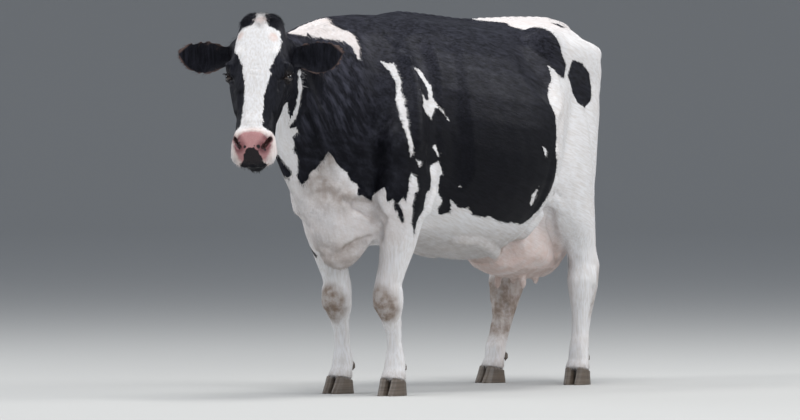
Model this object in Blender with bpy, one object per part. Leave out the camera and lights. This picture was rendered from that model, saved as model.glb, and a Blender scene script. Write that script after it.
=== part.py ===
"""A dairy cow of the black and white Friesian type, standing, at life size.

The cow faces -Y, its left side is +X, and +Z is up. All sizes are in metres.
The flesh is built from lofted masses (trunk, neck, head, legs, udder, tail), fused by a voxel remesh,
shaped by soft strokes (bones, tendons, hollows) and parted by thin cuts into pieces that have names.
Ears, eyes, claws, dewclaws and teats are solids of their own, fitted to the flesh with a small gap.
"""

import math

import bmesh
import bpy
import numpy as np
from mathutils import Matrix, Vector

# ---------------------------------------------------------------- driving sizes
GAP = 0.0005  # clearance between two pieces that meet
VOXEL = 0.009  # cell of the remesh that fuses the masses
RING = 32  # points round a lofted section
LOFT_STEP = 0.02  # distance between the rings of a loft
FLESH_TRIANGLES = 4300  # what the fused flesh is reduced to before it is parted

HEAD_YAW = math.radians(22)  # the head is turned to the cow's left
HEAD_PITCH = math.radians(27)  # how far the forehead leans back from upright
POLL = Vector((-0.105, -1.211, 1.442))  # top of the skull
ORIGIN = Vector((-0.028, -0.242, 0.0))  # the middle of the cow's bounds, on the ground

LEFT, RIGHT = 1, -1
SIDES = {"left": LEFT, "right": RIGHT}
FORE_X = {LEFT: 0.140, RIGHT: -0.140}  # where each fore cannon stands
FORE_Y = {LEFT: -0.648, RIGHT: -0.576}
KNEE_STEP = {LEFT: 0.048, RIGHT: 0.036}  # how far each knee stands ahead of its cannon
ARM_Y = {LEFT: -0.667, RIGHT: -0.640}
FORE_TOE_OUT = {LEFT: 4, RIGHT: 8}  # degrees that each foot points away from straight ahead
HIND_X = {LEFT: 0.200, RIGHT: -0.180}
HIND_Y = {LEFT: 0.650, RIGHT: 0.640}
HIND_TOE_OUT = {LEFT: 8, RIGHT: 20}
HOCK_Y = {LEFT: 0.692, RIGHT: 0.762}  # the right hind cannon slants more

HOCK_CUT, KNEE_CUT, ELBOW_CUT, STIFLE_CUT = 0.40, 0.30, 0.565, 0.64  # heights where the legs are parted
SWITCH_CUT = 0.655
CORONET_Z = 0.060  # where the hair ends and the claw begins, at the middle of the foot
CORONET_SLOPE = math.tan(math.radians(13))  # the coronet falls towards the heel
FOOT_STEP = 0.019  # the middle of a foot stands this far ahead of its cannon
CLAW_SPREAD = 0.0265  # a claw's middle from the middle of the foot
EYE_RADIUS = 0.021
EYE = {"side": 0.104, "out": -0.062, "down": 0.236}  # centre of the eyeball in the head's frame
TEATS = {"front": (0.052, 0.455), "rear": (0.045, 0.565)}  # how far out and how far back each pair hangs

# ---------------------------------------------------------------- head frame
HEADING = Vector((math.sin(HEAD_YAW), -math.cos(HEAD_YAW), 0.0))
HEAD_LEFT = Vector((math.cos(HEAD_YAW), math.sin(HEAD_YAW), 0.0))
HEAD_LEAN = 0.020  # how far the muzzle swings to the left for each metre below the poll
HEAD_DOWN = HEADING * math.sin(HEAD_PITCH) + Vector((0, 0, -math.cos(HEAD_PITCH)))
HEAD_DOWN += HEAD_LEFT * HEAD_LEAN  # poll to muzzle
HEAD_OUT = HEADING * math.cos(HEAD_PITCH) + Vector((0, 0, math.sin(HEAD_PITCH)))  # out of the forehead


def on_head(left, out, down):
    """A point given by its distances from the poll in the head's own frame."""
    return POLL + HEAD_LEFT * left + HEAD_OUT * out + HEAD_DOWN * down


# ---------------------------------------------------------------- mesh helpers
def clear_scene():
    for item in list(bpy.data.objects):
        bpy.data.objects.remove(item, do_unlink=True)


def add_object(name, mesh):
    item = bpy.data.objects.new(name, mesh)
    bpy.context.scene.collection.objects.link(item)
    return item


def mesh_from_bmesh(name, shape):
    bmesh.ops.recalc_face_normals(shape, faces=shape.faces)
    mesh = bpy.data.meshes.new(name)
    shape.to_mesh(mesh)
    shape.free()
    return mesh


def smooth_rows(rows, step):
    """Rows of numbers threaded by a smooth curve and read off about every step along it.

    The first three numbers of a row are its place, which sets the distances along the curve.
    """
    rows = np.array(rows, dtype=float)
    legs = np.linalg.norm(np.diff(rows[:, :3], axis=0), axis=1)
    along = np.concatenate([[0.0], np.cumsum(legs)])
    slopes = np.gradient(rows, along, axis=0)
    count = max(3, int(round(along[-1] / step)))
    spots = np.linspace(0.0, along[-1], count + 1)
    last = len(rows) - 2
    found = []
    for spot in spots:
        k = min(last, int(np.searchsorted(along, spot, side="right")) - 1)
        span = along[k + 1] - along[k]
        t = (spot - along[k]) / span
        start = (2 * t**3 - 3 * t**2 + 1) * rows[k] + (t**3 - 2 * t**2 + t) * span * slopes[k]
        end = (3 * t**2 - 2 * t**3) * rows[k + 1] + (t**3 - t**2) * span * slopes[k + 1]
        found.append(start + end)
    return np.array(found)


def power(value, exponent):
    return math.copysign(abs(value) ** exponent, value)


def loft(name, stations, side, up_along, corner=2.0, count=RING, step=LOFT_STEP):
    """A closed solid through sections (x, y, z, half width, rise above, drop below).

    side and up_along are the directions of a section's width and height; without the second the
    sections stand square to the path. A corner of 2 makes ellipses, less pinches the section towards
    its top and bottom, and more squares it.
    """
    side = Vector(side)
    shape = bmesh.new()
    rings = []
    rows = smooth_rows(stations, step)
    runs = np.gradient(rows[:, :3], axis=0)
    for (x, y, z, half, rise, drop), run in zip(rows, runs):
        up = side.cross(Vector(run)).normalized() if up_along is None else Vector(up_along)
        ring = []
        for k in range(count):
            angle = 2 * math.pi * k / count
            across = max(half, 0.002) * power(math.cos(angle), 2 / corner)
            height = max(rise if math.sin(angle) > 0 else drop, 0.002) * power(math.sin(angle), 2 / corner)
            ring.append(shape.verts.new(Vector((x, y, z)) + side * across + up * height))
        rings.append(ring)
    for lower, upper in zip(rings, rings[1:]):
        for k in range(count):
            shape.faces.new((lower[k], lower[(k + 1) % count], upper[(k + 1) % count], upper[k]))
    shape.faces.new(rings[0][::-1])
    shape.faces.new(rings[-1])
    return add_object(name, mesh_from_bmesh(name, shape))


def ellipsoid(name, centre, radii, turn=(0, 0, 0), levels=3):
    """An ellipsoid with half sizes radii, turned by degrees about X, Y and Z."""
    shape = bmesh.new()
    bmesh.ops.create_icosphere(shape, subdivisions=levels, radius=1.0)
    spin = Matrix.Identity(3)
    for axis, degrees in zip("XYZ", turn):
        spin = Matrix.Rotation(math.radians(degrees), 3, axis) @ spin
    for vert in shape.verts:
        sized = Vector((vert.co.x * radii[0], vert.co.y * radii[1], vert.co.z * radii[2]))
        vert.co = spin @ sized + Vector(centre)
    return add_object(name, mesh_from_bmesh(name, shape))


def evaluated(item):
    """A copy of an object's mesh with its modifiers done."""
    graph = bpy.context.evaluated_depsgraph_get()
    return bpy.data.meshes.new_from_object(item.evaluated_get(graph))


def fix_modifiers(item):
    """Turn an object's modifiers into its mesh."""
    mesh = evaluated(item)
    item.modifiers.clear()
    item.data = mesh


def boolean(item, cutter, operation):
    """Cut, join or keep what an object shares with another, and drop the other."""
    step = item.modifiers.new("cut", "BOOLEAN")
    step.operation = operation
    step.solver = "EXACT"
    step.object = cutter
    fix_modifiers(item)


def join(name, items):
    """One object that holds the meshes of several."""
    shape = bmesh.new()
    for item in items:
        shape.from_mesh(item.data)
        bpy.data.objects.remove(item, do_unlink=True)
    mesh = bpy.data.meshes.new(name)
    shape.to_mesh(mesh)
    shape.free()
    return add_object(name, mesh)


def read_points(mesh):
    points = np.empty(len(mesh.vertices) * 3)
    mesh.vertices.foreach_get("co", points)
    return points.reshape(-1, 3)


def read_normals(mesh):
    normals = np.empty(len(mesh.vertices) * 3)
    mesh.vertex_normals.foreach_get("vector", normals)
    return normals.reshape(-1, 3)


def write_points(mesh, points):
    mesh.vertices.foreach_set("co", points.ravel())
    mesh.update()


def grown(item, amount):
    """A copy of an object with its surface moved outwards."""
    mesh = item.data.copy()
    write_points(mesh, read_points(mesh) + read_normals(mesh) * amount)
    return add_object(item.name + "_grown", mesh)


def distance_to_path(points, path):
    """Each point's distance to a chain of straight runs."""
    path = [np.array(spot, dtype=float) for spot in path]
    if len(path) == 1:
        return np.linalg.norm(points - path[0], axis=1)
    best = np.full(len(points), np.inf)
    for start, end in zip(path, path[1:]):
        run = end - start
        share = np.clip((points - start) @ run / (run @ run), 0.0, 1.0)
        best = np.minimum(best, np.linalg.norm(points - start - share[:, None] * run, axis=1))
    return best


def stroke(points, normals, path, radius, amount):
    """Raise (or with a negative amount lower) the surface near a path, fading out at the radius."""
    near = np.clip(1.0 - (distance_to_path(points, path) / radius) ** 2, 0.0, 1.0) ** 2
    points += normals * (near * amount)[:, None]


# ---------------------------------------------------------------- the masses of the body
ACROSS, ALONG, UPWARD = (1, 0, 0), (0, -1, 0), (0, 0, 1)


def section(y, top, low, half, x=0.0, widest=0.5):
    """A standing section across the body: its top and lowest height, and where it is widest."""
    middle = low + (top - low) * widest
    return (x, y, middle, half, top - middle, middle - low)


def trunk_masses():
    barrel = loft("barrel", [
        section(-0.84, 1.14, 0.66, 0.10),
        section(-0.78, 1.28, 0.58, 0.165),
        section(-0.68, 1.375, 0.565, 0.215),
        section(-0.56, 1.435, 0.565, 0.245),
        section(-0.44, 1.455, 0.575, 0.285, widest=0.45),
        section(-0.28, 1.445, 0.555, 0.332, widest=0.43),
        section(-0.08, 1.435, 0.520, 0.375, widest=0.42),
        section(0.10, 1.430, 0.500, 0.385, widest=0.43),
        section(0.24, 1.437, 0.520, 0.360, widest=0.48),
        section(0.38, 1.448, 0.600, 0.300, widest=0.58),
        section(0.54, 1.450, 0.740, 0.250, widest=0.66),
        section(0.70, 1.440, 0.860, 0.212, widest=0.68),
        section(0.80, 1.415, 0.950, 0.170, widest=0.68),
        section(0.855, 1.360, 1.020, 0.120, widest=0.65),
    ], ACROSS, UPWARD, corner=2.15)
    spine = loft("spine", [
        section(-0.60, 1.445, 1.30, 0.040),
        section(-0.44, 1.466, 1.32, 0.050),
        section(-0.20, 1.461, 1.32, 0.055),
        section(0.10, 1.447, 1.32, 0.055),
        section(0.35, 1.455, 1.32, 0.060),
        section(0.60, 1.461, 1.34, 0.060),
        section(0.76, 1.456, 1.34, 0.055),
        section(0.85, 1.425, 1.33, 0.035),
    ], ACROSS, UPWARD)
    brisket = loft("brisket", [
        section(-0.965, 0.80, 0.70, 0.035, -0.02),
        section(-0.930, 0.88, 0.59, 0.080, -0.015),
        section(-0.855, 0.95, 0.488, 0.118, -0.01),
        section(-0.780, 0.95, 0.482, 0.128),
        section(-0.710, 0.92, 0.535, 0.130),
        section(-0.620, 0.90, 0.575, 0.120),
        section(-0.450, 0.88, 0.580, 0.100),
    ], ACROSS, UPWARD, corner=1.85)
    return [barrel, spine, brisket]


def hip_masses(side):
    rump = loft("rump", [
        (0.185 * side, 0.20, 1.32, 0.060, 0.070, 0.12),
        (0.215 * side, 0.31, 1.34, 0.075, 0.080, 0.18),
        (0.195 * side, 0.44, 1.32, 0.085, 0.095, 0.20),
        (0.180 * side, 0.58, 1.30, 0.090, 0.105, 0.20),
        (0.158 * side, 0.72, 1.28, 0.084, 0.110, 0.24),
        (0.140 * side, 0.82, 1.26, 0.070, 0.105, 0.19),
        (0.130 * side, 0.872, 1.24, 0.045, 0.085, 0.12),
    ], ACROSS, UPWARD)
    hook = ellipsoid("hook", (0.232 * side, 0.315, 1.372), (0.060, 0.075, 0.052), (0, 25 * side, -8 * side))
    pin = ellipsoid("pin", (0.148 * side, 0.845, 1.310), (0.045, 0.046, 0.045))
    return [rump, hook, pin]


def shoulder_mass(side):
    return loft("shoulder", [
        (0.075 * side, -0.45, 1.385, 0.035, 0.070, 0.07),
        (0.130 * side, -0.50, 1.275, 0.065, 0.120, 0.13),
        (0.175 * side, -0.57, 1.120, 0.080, 0.150, 0.16),
        (0.190 * side, -0.64, 0.980, 0.085, 0.160, 0.17),
        (0.195 * side, -0.655, 0.860, 0.082, 0.155, 0.20),
        (0.192 * side, -0.665, 0.760, 0.084, 0.160, 0.19),
        (0.184 * side, -0.660, 0.680, 0.080, 0.150, 0.14),
    ], ACROSS, ALONG)


def neck_masses():
    neck = loft("neck", [
        section(-0.50, 1.450, 0.80, 0.185),
        section(-0.64, 1.452, 0.72, 0.192, -0.005),
        section(-0.76, 1.448, 0.70, 0.190, -0.020),
        section(-0.88, 1.436, 0.74, 0.154, -0.045),
        section(-0.96, 1.414, 0.82, 0.128, -0.062),
        section(-1.03, 1.386, 0.91, 0.112, -0.078),
        section(-1.11, 1.365, 1.04, 0.098, -0.092),
        section(-1.18, 1.360, 1.15, 0.070, -0.100),
    ], ACROSS, UPWARD, corner=1.9)
    dewlap = loft("dewlap", [
        section(-1.140, 1.10, 0.970, 0.022, -0.100),
        section(-1.095, 1.10, 0.880, 0.030, -0.095),
        section(-1.035, 1.05, 0.780, 0.040, -0.080),
        section(-0.970, 1.00, 0.675, 0.058, -0.058),
        section(-0.870, 0.95, 0.560, 0.088, -0.022),
    ], ACROSS, UPWARD)
    return [neck, dewlap]


def head_station(down, half, front, back):
    """A section across the head: half width, and how far its front and back lie out of the face."""
    middle = (front + back) / 2
    return (*on_head(0.0, middle, down), half, front - middle, middle - back)


def head_masses():
    skull = loft("skull", [
        head_station(-0.020, 0.054, -0.030, -0.078),
        head_station(0.005, 0.078, -0.008, -0.110),
        head_station(0.050, 0.091, 0.008, -0.155),
        head_station(0.110, 0.106, 0.014, -0.190),
        head_station(0.170, 0.118, 0.013, -0.205),
        head_station(0.230, 0.120, 0.008, -0.205),
        head_station(0.290, 0.107, 0.000, -0.190),
        head_station(0.350, 0.092, -0.006, -0.170),
        head_station(0.420, 0.075, -0.008, -0.150),
        head_station(0.475, 0.077, -0.004, -0.140),
        head_station(0.520, 0.088, -0.004, -0.136),
        head_station(0.565, 0.085, -0.016, -0.124),
        head_station(0.590, 0.066, -0.035, -0.108),
        head_station(0.602, 0.034, -0.055, -0.090),
    ], HEAD_LEFT, HEAD_OUT, corner=2.3)
    jaw = loft("jaw", [
        head_station(0.100, 0.055, -0.130, -0.200),
        head_station(0.150, 0.088, -0.100, -0.255),
        head_station(0.220, 0.096, -0.090, -0.272),
        head_station(0.300, 0.080, -0.080, -0.245),
        head_station(0.380, 0.060, -0.070, -0.205),
        head_station(0.460, 0.050, -0.070, -0.172),
        head_station(0.530, 0.056, -0.070, -0.163),
        head_station(0.575, 0.048, -0.080, -0.155),
        head_station(0.592, 0.024, -0.100, -0.138),
    ], HEAD_LEFT, HEAD_OUT)
    orbits = [
        ellipsoid("orbit", on_head(side * 0.094, -0.055, 0.226), (0.034, 0.040, 0.045))
        for side in (LEFT, RIGHT)
    ]
    ear_roots = [
        ellipsoid("ear_root", on_head(side * 0.092, -0.100, 0.098), (0.038, 0.040, 0.045))
        for side in (LEFT, RIGHT)
    ]
    return [skull, jaw] + orbits + ear_roots


def turned(side, degrees):
    """The across and ahead directions of a foot that points outwards by some degrees."""
    spin = Matrix.Rotation(math.radians(degrees * side), 3, "Z")
    return spin @ Vector(ACROSS), spin @ Vector(ALONG)


def foreleg_masses(side):
    x, y = FORE_X[side], FORE_Y[side]
    arm = ARM_Y[side]
    across, ahead = turned(side, FORE_TOE_OUT[side])
    knee = y - KNEE_STEP[side]
    upper = loft("forearm", [
        (0.185 * side, arm + 0.03, 0.82, 0.080, 0.130, 0.170),
        (0.180 * side, arm + 0.02, 0.73, 0.080, 0.124, 0.150),
        (0.174 * side, arm, 0.64, 0.075, 0.118, 0.110),
        (0.162 * side, arm, 0.55, 0.063, 0.080, 0.082),
        (0.150 * side, knee * 0.7 + arm * 0.3, 0.47, 0.054, 0.062, 0.068),
        (x, knee + 0.002, 0.420, 0.054, 0.061, 0.060),
        (x, knee, 0.380, 0.060, 0.066, 0.056),
        (x, knee + 0.004, 0.335, 0.059, 0.062, 0.054),
    ], ACROSS, ALONG)
    lower = loft("shank", [
        (x, knee, 0.375, 0.056, 0.060, 0.052),
        (x, knee + 0.008, 0.325, 0.054, 0.057, 0.050),
        (x, knee * 0.5 + y * 0.5, 0.285, 0.040, 0.042, 0.042),
        (x, knee * 0.2 + y * 0.8, 0.240, 0.033, 0.033, 0.036),
        (x, y, 0.180, 0.032, 0.031, 0.036),
        (x, y, 0.132, 0.041, 0.037, 0.046),
        *pastern_rows(x, y, ahead),
    ], across, ahead)
    return [upper, lower]


def pastern_rows(x, y, ahead):
    """The sections from the fetlock down to the claws, which slope forwards."""
    rows = []
    for height, step, half, front, back in (
        (0.098, 0.005, 0.043, 0.040, 0.042),
        (0.072, 0.012, 0.051, 0.047, 0.047),
        (0.050, 0.018, 0.052, 0.052, 0.048),
        (0.030, FOOT_STEP, 0.050, 0.052, 0.046),
    ):
        rows.append((x + ahead.x * step, y + ahead.y * step, height, half, front, back))
    return rows


def hindleg_masses(side):
    x, y, hock = HIND_X[side], HIND_Y[side], HOCK_Y[side]
    across, ahead = turned(side, HIND_TOE_OUT[side])
    thigh = loft("thigh", [
        (0.146 * side, 0.58, 1.22, 0.102, 0.22, 0.28),
        (0.152 * side, 0.57, 1.08, 0.114, 0.25, 0.270),
        (0.160 * side, 0.55, 0.95, 0.119, 0.26, 0.250),
        (0.169 * side, 0.54, 0.83, 0.114, 0.235, 0.232),
        (0.180 * side, 0.56, 0.73, 0.097, 0.190, 0.190),
        (0.194 * side, hock - 0.090, 0.64, 0.078, 0.135, 0.140),
        (x * 0.5 + 0.100 * side, hock - 0.035, 0.56, 0.058, 0.088, 0.100),
        (x, hock - 0.008, 0.49, 0.047, 0.074, 0.095),
    ], ACROSS, ALONG)
    shank = loft("shank", [
        (x * 0.5 + 0.100 * side, hock - 0.030, 0.55, 0.052, 0.080, 0.094),
        (x, hock, 0.480, 0.054, 0.086, 0.104),
        (x, hock - 0.006, 0.420, 0.060, 0.096, 0.084),
        (x, hock * 0.80 + y * 0.20, 0.365, 0.054, 0.087, 0.070),
        (x, hock * 0.60 + y * 0.40, 0.290, 0.041, 0.062, 0.056),
        (x, hock * 0.28 + y * 0.72, 0.200, 0.035, 0.047, 0.048),
        (x, y, 0.140, 0.042, 0.044, 0.050),
        *pastern_rows(x, y, ahead),
    ], across, ahead)
    return [thigh, shank]


def udder_mass():
    return loft("bag", [
        section(0.16, 0.66, 0.56, 0.06),
        section(0.24, 0.74, 0.485, 0.130),
        section(0.34, 0.78, 0.440, 0.165),
        section(0.46, 0.82, 0.422, 0.170),
        section(0.58, 0.86, 0.418, 0.162),
        section(0.68, 0.90, 0.425, 0.145),
        section(0.755, 0.93, 0.475, 0.115),
        section(0.800, 0.90, 0.590, 0.070),
    ], ACROSS, UPWARD, corner=2.3)


def tail_mass():
    return loft("tail", [
        (0.000, 0.78, 1.425, 0.034, 0.030, 0.030),
        (0.000, 0.86, 1.410, 0.036, 0.031, 0.031),
        (0.000, 0.912, 1.36, 0.032, 0.028, 0.028),
        (0.002, 0.932, 1.25, 0.026, 0.026, 0.026),
        (0.006, 0.932, 1.05, 0.021, 0.021, 0.021),
        (0.014, 0.925, 0.85, 0.018, 0.018, 0.018),
        (0.024, 0.920, 0.70, 0.020, 0.020, 0.020),
        (0.032, 0.920, 0.60, 0.042, 0.038, 0.036),
        (0.040, 0.920, 0.48, 0.048, 0.042, 0.040),
        (0.045, 0.920, 0.38, 0.034, 0.030, 0.030),
        (0.047, 0.920, 0.32, 0.010, 0.010, 0.010),
    ], ACROSS, None)


# ---------------------------------------------------------------- bones, tendons and hollows
def shape_flesh(points, normals):
    for side in (LEFT, RIGHT):
        for radius, amount, path in (
            (0.14, -0.032, [(0.33, 0.13, 1.27), (0.33, 0.20, 1.20)]),  # flank hollow
            (0.09, -0.014, [(0.22, 0.50, 1.40), (0.18, 0.72, 1.38)]),  # between hook and pin
            (0.09, -0.016, [(0.18, -0.36, 1.32), (0.26, -0.42, 1.08), (0.27, -0.41, 0.85)]),  # behind
            (0.08, -0.007, [(0.12, -0.72, 1.30), (0.16, -0.80, 1.12), (0.16, -0.88, 0.96)]),  # and before
            (0.10, 0.014, [(0.22, -0.79, 0.97)]),  # point of the shoulder
            (0.07, 0.012, [(0.22, -0.50, 0.72)]),  # elbow
        ):
            stroke(points, normals, [(side * x, y, z) for x, y, z in path], radius, amount)
        nostril = on_head(side * 0.052, -0.012, 0.515)
        stroke(points, normals, [nostril], 0.020, -0.012)
        hock = (HIND_X[side], HOCK_Y[side])
        for inner in (1, -1):
            hollow = [(hock[0] + inner * 0.05, hock[1] + 0.045, height) for height in (0.50, 0.60)]
            stroke(points, normals, hollow, 0.035, -0.012)


# ---------------------------------------------------------------- fusing and parting the flesh
def make_flesh():
    items = trunk_masses() + neck_masses() + head_masses() + [udder_mass(), tail_mass()]
    for side in (LEFT, RIGHT):
        items += hip_masses(side) + foreleg_masses(side) + hindleg_masses(side) + [shoulder_mass(side)]
    flesh = join("flesh", items)
    fuse = flesh.modifiers.new("fuse", "REMESH")
    fuse.mode = "VOXEL"
    fuse.voxel_size = VOXEL
    fix_modifiers(flesh)
    mark_trunk(flesh)
    for iterations, group in ((6, ""), (30, "trunk")):
        soften = flesh.modifiers.new("soften", "SMOOTH")
        soften.factor = 0.5
        soften.iterations = iterations
        soften.vertex_group = group
    fix_modifiers(flesh)
    points = read_points(flesh.data)
    shape_flesh(points, read_normals(flesh.data))
    write_points(flesh.data, points)
    return flesh


def mark_trunk(flesh):
    """Weigh the trunk and thighs, which are smoothed more than the head, the legs and the tail."""
    points = read_points(flesh.data)
    weights = np.clip((points[:, 2] - 0.52) / 0.10, 0, 1) * np.clip((points[:, 1] + 1.05) / 0.12, 0, 1)
    weights *= np.clip((0.885 - points[:, 1]) / 0.03, 0, 1)
    group = flesh.vertex_groups.new(name="trunk")
    for step in range(1, 11):
        chosen = np.flatnonzero(np.round(weights * 10) == step)
        group.add(chosen.tolist(), step / 10, "REPLACE")


def reduce_flesh(flesh):
    flesh.vertex_groups.clear()
    flesh.data.calc_loop_triangles()
    thin = flesh.modifiers.new("thin", "DECIMATE")
    thin.ratio = FLESH_TRIANGLES / len(flesh.data.loop_triangles)
    thin.use_collapse_triangulate = True
    fix_modifiers(flesh)


def keep_main_body(item):
    """Drop the slivers that a cut leaves beside the piece."""
    shape = bmesh.new()
    shape.from_mesh(item.data)
    left = set(shape.verts)
    bodies = []
    while left:
        stack, body = [left.pop()], []
        while stack:
            vert = stack.pop()
            body.append(vert)
            for edge in vert.link_edges:
                other = edge.other_vert(vert)
                if other in left:
                    left.remove(other)
                    stack.append(other)
        bodies.append(body)
    bodies.sort(key=len, reverse=True)
    for body in bodies[1:]:
        bmesh.ops.delete(shape, geom=body, context="VERTS")
    shape.to_mesh(item.data)
    shape.free()


def hull(name, corners):
    """The convex solid round some corners."""
    shape = bmesh.new()
    for corner in corners:
        shape.verts.new(corner)
    bmesh.ops.convex_hull(shape, input=shape.verts)
    return add_object(name, mesh_from_bmesh(name, shape))


def part_off(flesh, name, region):
    """Take the flesh inside a convex region away as a piece of its own, with a gap all round it."""
    piece = add_object(name, flesh.data.copy())
    boolean(piece, region, "INTERSECT")
    room = grown(region, 2 * GAP)
    boolean(flesh, room, "DIFFERENCE")
    for cutter in (region, room):
        bpy.data.objects.remove(cutter, do_unlink=True)
    keep_main_body(piece)
    keep_main_body(flesh)
    return piece


def box(low, high):
    spans = list(zip(low, high))
    return hull("region", [(x, y, z) for x in spans[0] for y in spans[1] for z in spans[2]])


def side_box(side, low, high):
    return box((side * low[0], low[1], low[2]), (side * high[0], high[1], high[2]))


def wedge(profile, half=0.6):
    """A region between two walls across the body, with a convex outline of (y, z) corners."""
    return hull("region", [(x, y, z) for x in (-half, half) for y, z in profile])


def head_wedge(profile, half=0.3):
    """The same in the head's frame, with an outline of (out, down) corners."""
    return hull("region", [on_head(x, out, down) for x in (-half, half) for out, down in profile])


def part_flesh(flesh):
    pieces = {}
    pieces["head"] = part_off(flesh, "head", head_wedge([
        (-0.10, -0.08), (-0.175, 0.06), (-0.262, 0.20), (-0.262, 0.70), (0.20, 0.70), (0.20, -0.08)], 0.138))
    pieces["lower_jaw"] = part_off(pieces["head"], "lower_jaw", head_wedge([
        (-0.155, 0.13), (-0.100, 0.70), (-0.40, 0.70), (-0.40, 0.13)]))
    pieces["muzzle"] = part_off(pieces["head"], "muzzle", head_wedge([
        (0.10, 0.455), (-0.20, 0.440), (-0.20, 0.70), (0.10, 0.70)]))
    pieces["tail"] = part_off(flesh, "tail", hull("region", [
        (x, y, z) for y in (0.893, 1.1)
        for x, z in ((-0.06, 1.365), (0.06, 1.365), (-0.10, 0.2), (0.20, 0.2))]))
    pieces["tail_switch"] = part_off(
        pieces["tail"], "tail_switch", box((-0.3, 0.6, 0.1), (0.3, 1.2, SWITCH_CUT)))
    pieces["udder"] = part_off(flesh, "udder", hull("region", [
        (side * x, y, z) for side in (LEFT, RIGHT)
        for x, y, z in ((0.22, 0.10, 0.405), (0.22, 0.10, 0.575), (0.20, 0.47, 0.405), (0.20, 0.47, 0.64),
                        (0.08, 0.885, 0.405), (0.08, 0.885, 1.00))]))
    for word, side in SIDES.items():
        pieces["forearm_" + word] = part_off(flesh, "forearm_" + word, side_box(
            side, (0.078, -0.95, -0.2), (0.4, -0.30, ELBOW_CUT)))
        pieces["fore_shank_" + word] = part_off(pieces["forearm_" + word], "fore_shank_" + word, side_box(
            side, (0.0, -0.95, -0.2), (0.4, -0.30, KNEE_CUT)))
        pieces["gaskin_" + word] = part_off(flesh, "gaskin_" + word, side_box(
            side, (0.05, 0.30, -0.2), (0.5, 0.892, STIFLE_CUT)))
        pieces["hind_shank_" + word] = part_off(pieces["gaskin_" + word], "hind_shank_" + word, side_box(
            side, (0.0, 0.30, -0.2), (0.5, 0.892, HOCK_CUT)))
    for name, top_y, low_y, end_y in (
            ("neck", -0.60, -0.93, -1.6), ("chest", -0.30, -0.30, -1.6), ("hindquarters", 0.28, 0.28, 1.6)):
        region = wedge([(top_y, 1.6), (low_y, 0.3), (end_y, 0.3), (end_y, 1.6)])
        pieces[name] = part_off(flesh, name, region)
    flesh.name = "barrel"
    pieces["barrel"] = flesh
    return pieces


# ---------------------------------------------------------------- solids of their own
def coronet(forward):
    """Height of the coronet at a distance ahead of the middle of the foot."""
    return CORONET_Z + CORONET_SLOPE * forward


def foot_frame(x, y, side, degrees):
    """The place and turn of a foot: local X across, local Y ahead."""
    across, ahead = turned(side, degrees)
    middle = Vector((x, y, 0)) + ahead * FOOT_STEP
    return Matrix.Translation(middle) @ Matrix((across, ahead, (0, 0, 1))).transposed().to_4x4()


def cut_coronet(shank, frame):
    """Take away the foot of a shank below the sloping coronet."""
    reach = 0.12
    corners = []
    for forward in (-reach, reach):
        for across in (-reach, reach):
            for height in (-0.10, coronet(forward) + GAP):
                corners.append(frame @ Vector((across, forward, height)))
    region = hull("region", corners)
    boolean(shank, region, "DIFFERENCE")
    bpy.data.objects.remove(region, do_unlink=True)
    keep_main_body(shank)


def claw(name, frame, hand, hind):
    """One claw: a flat sole, a sloping toe, and a top that follows the coronet."""
    toe, heel = (0.066, 0.047) if hind else (0.070, 0.048)
    count, rings = 12, 2
    shape = bmesh.new()
    rows = []
    for k in range(rings + 1):
        share = k / rings
        half = 0.0245 - 0.0015 * share
        front = toe - (toe - 0.042) * share**0.8
        back = heel - 0.006 * share
        row = []
        for n in range(count):
            angle = 2 * math.pi * n / count
            forward = (front if math.sin(angle) > 0 else back) * power(math.sin(angle), 0.9)
            narrowing = 1.0 - 0.25 * max(0.0, forward / toe) ** 2
            across = half * power(math.cos(angle), 0.8) * narrowing
            lean = -hand * 0.006 * max(0.0, forward / toe)
            row.append(shape.verts.new(frame @ Vector((
                hand * CLAW_SPREAD + across + lean, forward, share * (coronet(forward) - GAP)))))
        rows.append(row)
    for lower, upper in zip(rows, rows[1:]):
        for n in range(count):
            shape.faces.new((lower[n], lower[(n + 1) % count], upper[(n + 1) % count], upper[n]))
    shape.faces.new(rows[0][::-1])
    shape.faces.new(rows[-1])
    return add_object(name, mesh_from_bmesh(name, shape))


def fitted(item, neighbours):
    """Cut an overlapping solid back to stand a gap clear of the flesh it grows from."""
    for neighbour in neighbours:
        room = grown(neighbour, 1.6 * GAP)
        boolean(item, room, "DIFFERENCE")
        bpy.data.objects.remove(room, do_unlink=True)
    keep_main_body(item)
    return item


def make_feet(pieces):
    for word, side in SIDES.items():
        for end, xs, ys, turns, hind in (
            ("fore", FORE_X, FORE_Y, FORE_TOE_OUT, False), ("hind", HIND_X, HIND_Y, HIND_TOE_OUT, True)):
            frame = foot_frame(xs[side], ys[side], side, turns[side])
            shank = pieces[f"{end}_shank_{word}"]
            cut_coronet(shank, frame)
            for place, hand in (("outer", side), ("inner", -side)):
                pieces[f"{end}_claw_{word}_{place}"] = claw(f"{end}_claw_{word}_{place}", frame, hand, hind)
                spot = frame @ Vector((hand * 0.024, -0.058, 0.106))
                spur = ellipsoid("spur", spot, (0.014, 0.016, 0.020), levels=1)
                spur.name = f"{end}_dewclaw_{word}_{place}"
                pieces[spur.name] = fitted(spur, [shank])


def make_eyes(pieces):
    for word, side in SIDES.items():
        centre = on_head(side * EYE["side"], EYE["out"], EYE["down"])
        socket = ellipsoid("socket", centre, [EYE_RADIUS + 2 * GAP] * 3, levels=2)
        boolean(pieces["head"], socket, "DIFFERENCE")
        bpy.data.objects.remove(socket, do_unlink=True)
        eye = ellipsoid("eye_" + word, centre, [EYE_RADIUS] * 3, levels=2)
        pieces[eye.name] = eye
    keep_main_body(pieces["head"])


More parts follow.
